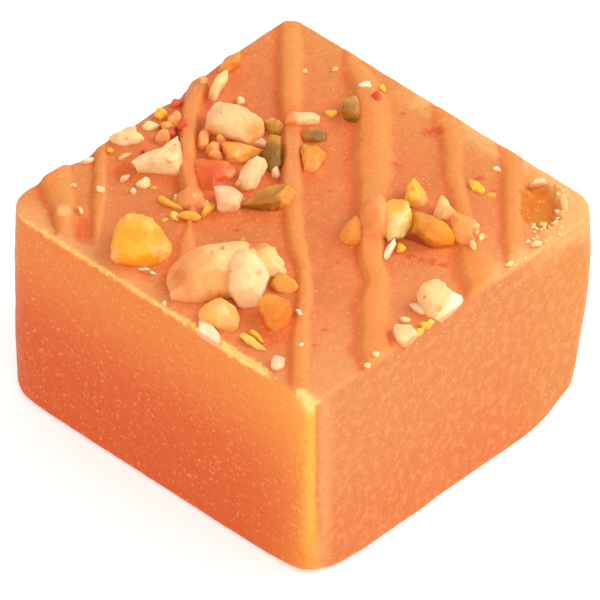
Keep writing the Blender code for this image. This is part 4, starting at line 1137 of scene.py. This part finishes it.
        outline=[(-17.8, 6.3), (-16.7, 7.0), (-15.6, 7.5), (-15.3, 6.6), (-14.6, 6.1), (-14.7, 5.4),
            (-16.4, 5.3), (-17.3, 5.6)],
    ),
    "edge_blade": dict(
        base=(255, 232, 168), shape=(26, 0.8, 0.7, 0.4, 33, 0.05), planes=[(190, 45, 0.75)],
        washes=[((242, 168, 104), 215, 0.2, 0.9, 0.8)],
        outline=[(-8.9, 9.5), (-8.7, 10.6), (-7.9, 12.1), (-7.0, 12.6), (-7.0, 11.7), (-7.7, 10.5),
            (-8.4, 9.2)],
    ),
    "edge_orange": dict(
        slot="golden_nut", base=(240, 158, 62), shape=(20, 0.8, 0.7, 0.4, 34, 0.07), planes=[(280, 40, 0.75)],
        washes=[((226, 132, 40), 90, 0.3, 1.0, 0.6)],
        patch=((226, 128, 44), 0.6),
        outline=[(-7.9, 12.5), (-7.4, 13.5), (-6.8, 14.1), (-5.7, 14.3), (-5.8, 13.4), (-6.6, 12.6),
            (-7.4, 12.3)],
    ),
}


def paint_bounce_and_shade(piece, foot, amount):
    """Spread the foot mask's painted bounce light over the steep sides too, and mark the faces turned away
    from the lamp for painted shade.
    """
    ways = np.zeros(len(piece.data.vertices) * 3, dtype=np.float32)
    piece.data.vertices.foreach_get("normal", ways)
    ways = ways.reshape(-1, 3)
    steep = smooth((0.45 - ways[:, 2]) / 0.8) * amount
    both = np.maximum(foot, steep).astype(np.float32)
    piece.data.attributes["foot"].data.foreach_set("value", both)
    turned = smooth((0.75 - ways @ np.array(KEY_PLACE.normalized())) / 1.1).astype(np.float32)
    layer = piece.data.attributes.new("turned", "FLOAT", "POINT")
    layer.data.foreach_set("value", turned)


def within_sides(points):
    """Points kept close to the upright faces and corners of the slab."""
    points[:, 0] = np.clip(points[:, 0], -HALF_X - OVERHANG, HALF_X + OVERHANG)
    points[:, 1] = np.clip(points[:, 1], -HALF_Y - OVERHANG, HALF_Y + OVERHANG)
    for name, (side_x, side_y) in CORNERS.items():
        radius = CORNER_ROUND[name]
        out_x = side_x * points[:, 0] - (HALF_X - radius)
        out_y = side_y * points[:, 1] - (HALF_Y - radius)
        span = np.hypot(out_x, out_y)
        far = (out_x > 0) & (out_y > 0) & (span > radius)
        share = np.where(far, radius / np.maximum(span, 1e-9), 1.0)
        points[:, 0] = np.where(far, side_x * (HALF_X - radius + out_x * share), points[:, 0])
        points[:, 1] = np.where(far, side_y * (HALF_Y - radius + out_y * share), points[:, 1])
    return points


def nut_piece(name, given):
    """One chopped nut that stands for its CAD node; gives its outline where it meets the fudge."""
    row = NUT_DEFAULTS | {"node": name} | given
    lean, bulge, depth, flat, seed, rough = row["shape"]
    draw = random.Random(seed * 13)
    planes = row["planes"] + [(draw.uniform(0, 360), draw.uniform(28, 62), draw.uniform(0.76, 0.88))
                              for cut in range(row["cuts"])]
    points, faces = lump_mesh(row["outline"], lean, bulge, depth, flat, seed, planes, rough, levels=11)
    points = within_sides(points)
    spots = [(wash_mask, *wash) for wash in row["washes"]] + [(dab_mask, *dab) for dab in row["dabs"]]
    masks = {}
    tints = []
    for index, (mask, tint, *where, strength) in enumerate(spots):
        masks[f"tint_{index}"] = mask(points, seed + index, *where)
        tints.append((tint, strength))
    # Painted bounce light near the foot, weaker on the pistachios
    bounce_share = 0.35 if row["slot"] == "pistachio" or name == "pistachio_gold" else 1.0
    masks["foot"] = np.exp(-np.maximum(points[:, 2] - SLAB_Z - 0.1, 0.0) / 0.35) * bounce_share
    piece = object_from("nut_" + name, points, faces, masks)
    paint_bounce_and_shade(piece, masks["foot"], 0.25 * bounce_share)
    gloss = 0.36 if row["slot"] in ("candied", "pistachio", "golden_nut") else 0.46
    look = nut_material(name, row["base"], tints, row["patch"], row["specks"], gloss, footed=True)
    piece.data.materials.append(look)
    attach(piece, "root")
    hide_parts(row["node"])
    low = points[np.abs(points[:, 2] - SLAB_Z - 0.2) < 0.35]
    return np.stack([low @ np.array(RIGHT), low @ np.array(AWAY)], axis=1)


# Small bits by kind: tint, slot, then right, above, half width, half height as seen, height and turn
BITS = {
    "cream": ((255, 222, 162), "cream_nut", [
        (-5.8, 9.7, 0.5, 0.4, 0.5, 0), (-14.2, 7.3, 1.0, 0.42, 0.4, 0), (-14.8, 2.0, 0.75, 0.6, 0.5, 15),
        (-18.6, 1.4, 0.5, 0.35, 0.3, -20), (-9.0, 6.6, 0.5, 0.35, 0.8, 0), (16.4, -2.9, 0.3, 0.5, 0.5, -20),
        (9.4, -10.4, 0.6, 0.3, 0.3, 0), (15.9, -2.2, 0.35, 0.55, 0.7, 20), (15.6, -3.6, 0.55, 0.3, 0.5, -50),
        (21.3, -3.4, 0.6, 0.3, 0.3, 10), (18.9, -5.3, 0.45, 0.22, 0.25, 30), (6.7, -13.5, 0.3, 0.3, 0.3, 0),
        (5.9, -14.5, 0.35, 0.2, 0.25, 0), (-10.5, -11.1, 0.3, 0.22, 0.3, 10),
        (-12.6, -9.0, 0.28, 0.2, 0.3, -20),
    ]),
    "white": ((255, 242, 208), "cream_nut", [
        (-15.6, 1.3, 0.3, 0.3, 0.35, 0), (7.9, -4.1, 1.1, 0.34, 0.5, 58), (17.8, 3.5, 0.5, 0.25, 0.3, -5),
        (5.8, 11.2, 0.8, 0.26, 0.6, 0), (-0.3, -9.8, 0.6, 0.24, 0.35, -48), (-19.9, 4.1, 0.75, 0.22, 0.3, 12),
        (-14.6, -5.9, 0.7, 0.2, 0.25, 4), (-13.7, -6.2, 0.35, 0.16, 0.25, -20),
        (-0.1, -12.8, 0.45, 0.18, 0.25, 25),
    ]),
    "pink": ((254, 206, 162), "cream_nut", [
        (-2.2, -14.4, 0.75, 0.75, 0.5, 0), (0.1, 12.6, 0.4, 0.24, 0.2, 0), (2.9, 12.8, 0.4, 0.24, 0.2, 0),
        (-16.5, 4.5, 0.65, 0.22, 0.3, 25), (-16.4, 2.5, 0.6, 0.3, 0.35, 30), (-21.1, 1.8, 0.4, 0.2, 0.3, 0),
        (-2.5, 3.0, 0.45, 0.5, 0.6, 20), (-20.4, -0.5, 0.25, 0.5, 0.3, 15), (21.8, 2.2, 1.15, 0.24, 0.5, 12),
        (10.5, -9.4, 0.95, 0.4, 0.5, -42), (-8.9, -0.1, 0.45, 0.5, 0.7, -30),
        (-11.6, 0.5, 0.35, 0.5, 0.6, 20), (-3.9, 5.7, 0.75, 0.26, 1.0, -4),
    ]),
    "peach": ((246, 166, 90), "coated_nut", [
        (-12.9, 6.3, 0.75, 0.85, 0.8, 0), (-11.9, 8.0, 0.7, 0.9, 0.9, 0), (-12.5, 7.2, 0.7, 0.7, 0.8, 0),
        (-9.2, 11.4, 0.6, 0.4, 0.9, 20), (-9.2, 5.9, 0.65, 0.9, 1.0, 0), (-8.3, 5.1, 0.7, 0.7, 0.9, 0),
        (-7.6, 6.0, 0.6, 0.5, 0.9, 0), (-2.9, 7.6, 0.5, 0.3, 0.9, 0), (-8.0, 4.4, 0.8, 0.4, 0.9, -12),
        (-5.9, 1.8, 0.5, 0.35, 0.9, 25),
    ]),
    "yellow": ((254, 196, 58), "yellow_nut", [
        (-13.7, 1.6, 0.35, 0.2, 0.3, 0), (-12.7, -1.4, 0.4, 0.3, 0.35, 0), (9.0, -3.9, 0.5, 0.5, 0.4, 0),
        (16.0, 1.8, 0.95, 0.5, 0.35, -32), (17.3, 0.95, 0.6, 0.3, 0.3, -12), (7.3, 10.9, 0.4, 0.3, 0.7, -30),
        (2.6, 8.6, 0.75, 0.36, 0.4, 18), (11.2, -10.9, 0.6, 0.28, 0.4, 8), (10.7, -11.5, 0.6, 0.26, 0.4, 35),
        (-13.2, 8.5, 0.7, 0.5, 0.6, 20), (-5.5, -3.5, 0.3, 0.25, 1.2, 0), (-9.9, -11.0, 0.3, 0.2, 0.3, 0),
    ]),
    "lemon": ((255, 212, 100), "yellow_nut", [
        (-11.8, -1.0, 0.65, 0.42, 0.4, -15), (-4.7, -12.4, 1.45, 0.36, 0.4, -34),
        (11.7, -10.6, 0.4, 0.25, 0.35, 20),
    ]),
    "amber": ((252, 184, 66), "golden_nut", [
        (-12.2, 0.2, 1.7, 0.36, 0.45, -26), (-8.7, -0.4, 1.15, 0.4, 0.6, 48),
        (-10.3, -1.0, 1.3, 0.32, 0.4, -5), (-17.8, 5.1, 0.4, 0.25, 0.3, 0), (-4.2, -11.9, 0.9, 0.3, 0.5, -38),
    ]),
    "olive": ((232, 160, 52), "pistachio", [
        (-1.7, -7.3, 1.25, 0.85, 0.7, -8),
    ]),
    "red": ((224, 88, 48), "candied", [
        (-11.8, 9.4, 0.65, 0.35, 0.6, 25), (-12.2, 6.6, 0.6, 0.55, 0.75, 0), (6.8, 10.2, 0.5, 0.75, 0.5, 0),
        (-14.7, 4.9, 0.25, 0.2, 0.6, 0), (-11.2, 7.4, 0.5, 0.5, 0.9, 0), (-9.0, 3.5, 0.45, 0.4, 1.0, 20),
    ]),
    "shell": ((252, 196, 124), "fudge", [
        (24.0, 0.4, 0.45, 1.0, 0.2, 5), (22.3, -3.1, 0.7, 0.25, 0.15, 30), (23.5, 1.9, 0.4, 0.3, 0.2, -30),
    ]),
}


def bit_outline(right, above, half_right, half_up, turn, draw):
    """The uneven outline of a small bit."""
    spin = math.radians(turn)
    corners = []
    for k in range(BIT_CORNERS):
        angle = 2 * math.pi * (k + draw.uniform(-0.3, 0.3)) / BIT_CORNERS
        reach = draw.uniform(0.74, 1.16)
        a = half_right * math.cos(angle) * reach
        b = half_up * math.sin(angle) * reach
        corners.append((right + a * math.cos(spin) - b * math.sin(spin),
                        above + a * math.sin(spin) + b * math.cos(spin)))
    return corners


def bits_piece(kind):
    """All small bits of one kind as one mesh."""
    tint, slot, rows = BITS[kind]
    draw = random.Random(len(kind) * 7 + len(rows))
    points = np.zeros((0, 3))
    faces = []
    for right, above, half_right, half_up, height, turn in rows:
        corners = bit_outline(right, above, half_right, half_up, turn, draw)
        planes = [(draw.uniform(0, 360), draw.uniform(25, 65), draw.uniform(0.62, 0.85)) for cut in range(3)]
        away = above / math.sin(RISE)
        under = drizzle_at(np.array([right]), np.array([away]))[0][0]
        spot = on_top(right, away)
        dent = dent_at(np.array([spot.x]), np.array([spot.y]))[0]
        more, cells = lump_mesh(corners, 14, height, height, 0.4, draw.randrange(100), planes, 0.03,
                                levels=5, lift=0.02 + 0.7 * float(under) - float(dent))
        start = len(points)
        points = np.vstack([points, within_sides(more)])
        faces += [tuple(v + start for v in cell) for cell in cells]
    # Painted bounce light from the fudge at the foot of the bits
    foot = np.exp(-np.maximum(points[:, 2] - SLAB_Z - 0.05, 0.0) / 0.2)
    piece = object_from("bits_" + kind, points, faces, {"foot": foot})
    paint_bounce_and_shade(piece, foot * 0.6, 0.35)
    look = nut_material("bits_" + kind, tint, [], (shade_of(tint, 0.9), 0.5), None, 0.42, footed=True)
    piece.data.materials.append(look)
    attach(piece, "root")
    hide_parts("slab")


def chip(place, size, draw):
    """A tiny irregular eight-sided chip about a point."""
    turn = draw.uniform(0, math.pi)
    points = []
    for x, y, z in CHIP_WAYS:
        reach = size * draw.uniform(0.45, 1.3)
        a = x * math.cos(turn) - y * math.sin(turn)
        b = x * math.sin(turn) + y * math.cos(turn)
        points.append(place + Vector((a, b, z * 0.8)) * reach)
    faces = []
    for k in range(4):
        n = (k + 1) % 4
        faces.append((k, n, 4))
        faces.append((n, k, 5))
    return points, faces


def scatter_piece(name, tint, places, seed, low, high, gloss):
    """Many tiny chips at some places, as one mesh."""
    draw = random.Random(seed)
    points = []
    faces = []
    for place in places:
        more, cells = chip(Vector(place), draw.uniform(low, high), draw)
        start = len(points)
        points += more
        faces += [tuple(v + start for v in cell) for cell in cells]
    piece = object_from(name, points, faces)
    piece.data.shade_flat()
    piece.data.materials.append(nut_material(name, tint, [], None, None, gloss))
    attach(piece, "root")
    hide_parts("slab")


def edge_places(seed, count):
    """Places of crumbs along the near top edge on the left, most of them towards the front."""
    draw = random.Random(seed)
    places = []
    for index in range(count):
        x = draw.gauss(11.5, 2.0) if index % 2 else draw.uniform(-HALF_X + 3.0, 14.5)
        x = min(x, 15.0)
        down = abs(draw.gauss(0.0, 0.3 if x > 7.0 else 0.12))
        if index % 3:
            places.append((x, -HALF_Y + 0.08, SLAB_Z - 0.06 - down))
        else:
            places.append((x, -HALF_Y + 0.1 + down, SLAB_Z - 0.02))
    return places


def torn_places(seed, count):
    """Places of crumbs on the rim of the torn pit and along the edge beside it."""
    draw = random.Random(seed)
    middle_across, middle_away, half_across, half_away = TORN_PIT
    places = []
    for index in range(count):
        if index % 3:
            turn = draw.uniform(-2.0, 0.9)
            reach = draw.gauss(1.12, 0.16)
            across = middle_across + math.cos(turn) * half_across * reach
            away = middle_away + math.sin(turn) * half_away * reach
        else:
            run = draw.uniform(3.0, 15.0)
            in_from_edge = abs(draw.gauss(0.3, 0.6)) + 0.25
            place = Vector((HALF_X - in_from_edge, run, 0.0))
            across = place.dot(RIGHT)
            away = place.dot(AWAY)
        spot = on_top(across, away, 0.03)
        if spot.x < HALF_X - 0.2 and spot.y < HALF_Y - 0.2:
            places.append(tuple(spot))
    return places


def top_places(seed, count):
    """Places of pale chips: sugar crystals over the whole top face, and chips along the lit side of the
    stripes that stand in for painted highlights.
    """
    draw = random.Random(seed)
    places = []
    for route in STRIPES:
        ordered = sorted(route, key=lambda p: p[1])
        for index in range(GLINTS_BY_STRIPE):
            away = draw.uniform(ordered[0][1], ordered[-1][1])
            across = np.interp(away, [p[1] for p in ordered], [p[0] + p[2] * 1.05 for p in ordered])
            spot = on_top(float(across) + draw.uniform(0.0, 0.25), away, 0.06)
            if abs(spot.x) < HALF_X - 0.5 and abs(spot.y) < HALF_Y - 0.5:
                places.append(tuple(spot))
    while len(places) < count:
        x = draw.uniform(-HALF_X + 0.8, HALF_X - 0.8)
        y = draw.uniform(-HALF_Y + 0.8, HALF_Y - 0.8)
        if noise.noise(Vector((x * 0.25, y * 0.25, 3.0))) > -0.15:
            spot = np.array([[x, y]])
            height = drizzle_at(spot @ np.array(RIGHT.xy), spot @ np.array(AWAY.xy))[0][0]
            places.append((x, y, SLAB_Z + TOP_WAVE * float(slow_wave(x, y)) + float(height) + 0.03))
    return places


def light(name, place, size, power, colour):
    """A soft square lamp at a place in metres, turned towards the sweet."""
    lamp = bpy.data.lights.new(name, "AREA")
    lamp.size = size
    lamp.energy = power
    lamp.color = colour
    item = bpy.data.objects.new(name, lamp)
    item.location = place
    item.rotation_euler = (LAMP_AIM - place).to_track_quat("-Z", "Y").to_euler()
    bpy.context.scene.collection.objects.link(item)


def build_camera():
    """The camera at the photograph's viewing angle."""
    up = BACK.cross(RIGHT)
    roll = math.radians(VIEW_ROLL)
    right = RIGHT * math.cos(roll) + up * math.sin(roll)
    upright = up * math.cos(roll) - RIGHT * math.sin(roll)
    place = Vector(VIEW_AIM) + BACK * VIEW_DISTANCE + right * VIEW_OFFSET[0] + upright * VIEW_OFFSET[1]
    data = bpy.data.cameras.new("camera")
    data.sensor_width = SENSOR_WIDTH
    data.lens = SENSOR_WIDTH * VIEW_DISTANCE / FRAME_WIDTH
    data.clip_end = 10.0
    camera = bpy.data.objects.new("camera", data)
    bpy.context.scene.collection.objects.link(camera)
    axes = Matrix((right, upright, BACK)).transposed().to_4x4()
    axes.translation = place * MM
    camera.matrix_world = axes
    bpy.context.scene.camera = camera


def build_stage():
    """A plain pale floor, a bright surround and soft lamps."""
    bpy.ops.mesh.primitive_plane_add(size=FLOOR_SIZE, location=(0, 0, FLOOR_HEIGHT))
    floor = bpy.context.active_object
    floor.name = "floor"
    look = Look("floor_look")
    look.fill(look.shader, {
        "Base Color": (0.95, 0.95, 0.95, 1.0),
        "Roughness": 0.9,
        "Emission Color": (1.0, 1.0, 1.0, 1.0),
        "Emission Strength": 0.3,
    })
    floor.data.materials.append(look.material)
    world = bpy.data.worlds.new("surround")
    bpy.context.scene.world = world
    world.use_nodes = True
    sky = world.node_tree.nodes["Background"]
    sky.inputs["Color"].default_value = (1.0, 1.0, 1.0, 1.0)
    sky.inputs["Strength"].default_value = SKY_STRENGTH
    light("key", KEY_PLACE, size=0.28, power=0.95, colour=(1.0, 0.97, 0.93))
    light("fill", FILL_PLACE, size=0.3, power=0.5, colour=(1.0, 0.96, 0.9))


def main():
    """Build the camera, the stage and the light, then every piece."""
    build_camera()
    build_stage()
    rings = [nut_piece(name, row) for name, row in NUTS.items()]
    slab = slab_piece(rings)
    slab.data.materials.append(fudge_material())
    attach(slab, "root")
    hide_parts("slab")
    for kind in BITS:
        bits_piece(kind)
    scatter_piece("edge_crumbs", (255, 216, 132), edge_places(seed=5, count=100),
                  seed=6, low=0.06, high=0.2, gloss=0.5)
    scatter_piece("torn_crumbs", (255, 212, 146), torn_places(seed=7, count=44),
                  seed=8, low=0.1, high=0.34, gloss=0.6)
    # Pale chips: sugar crystals on the top, and painted highlights along the lit side of the stripes
    scatter_piece("sugar_glints", (255, 222, 186), top_places(seed=8, count=150),
                  seed=9, low=0.03, high=0.1, gloss=0.3)
    bpy.context.scene.view_settings.view_transform = "Standard"


main()
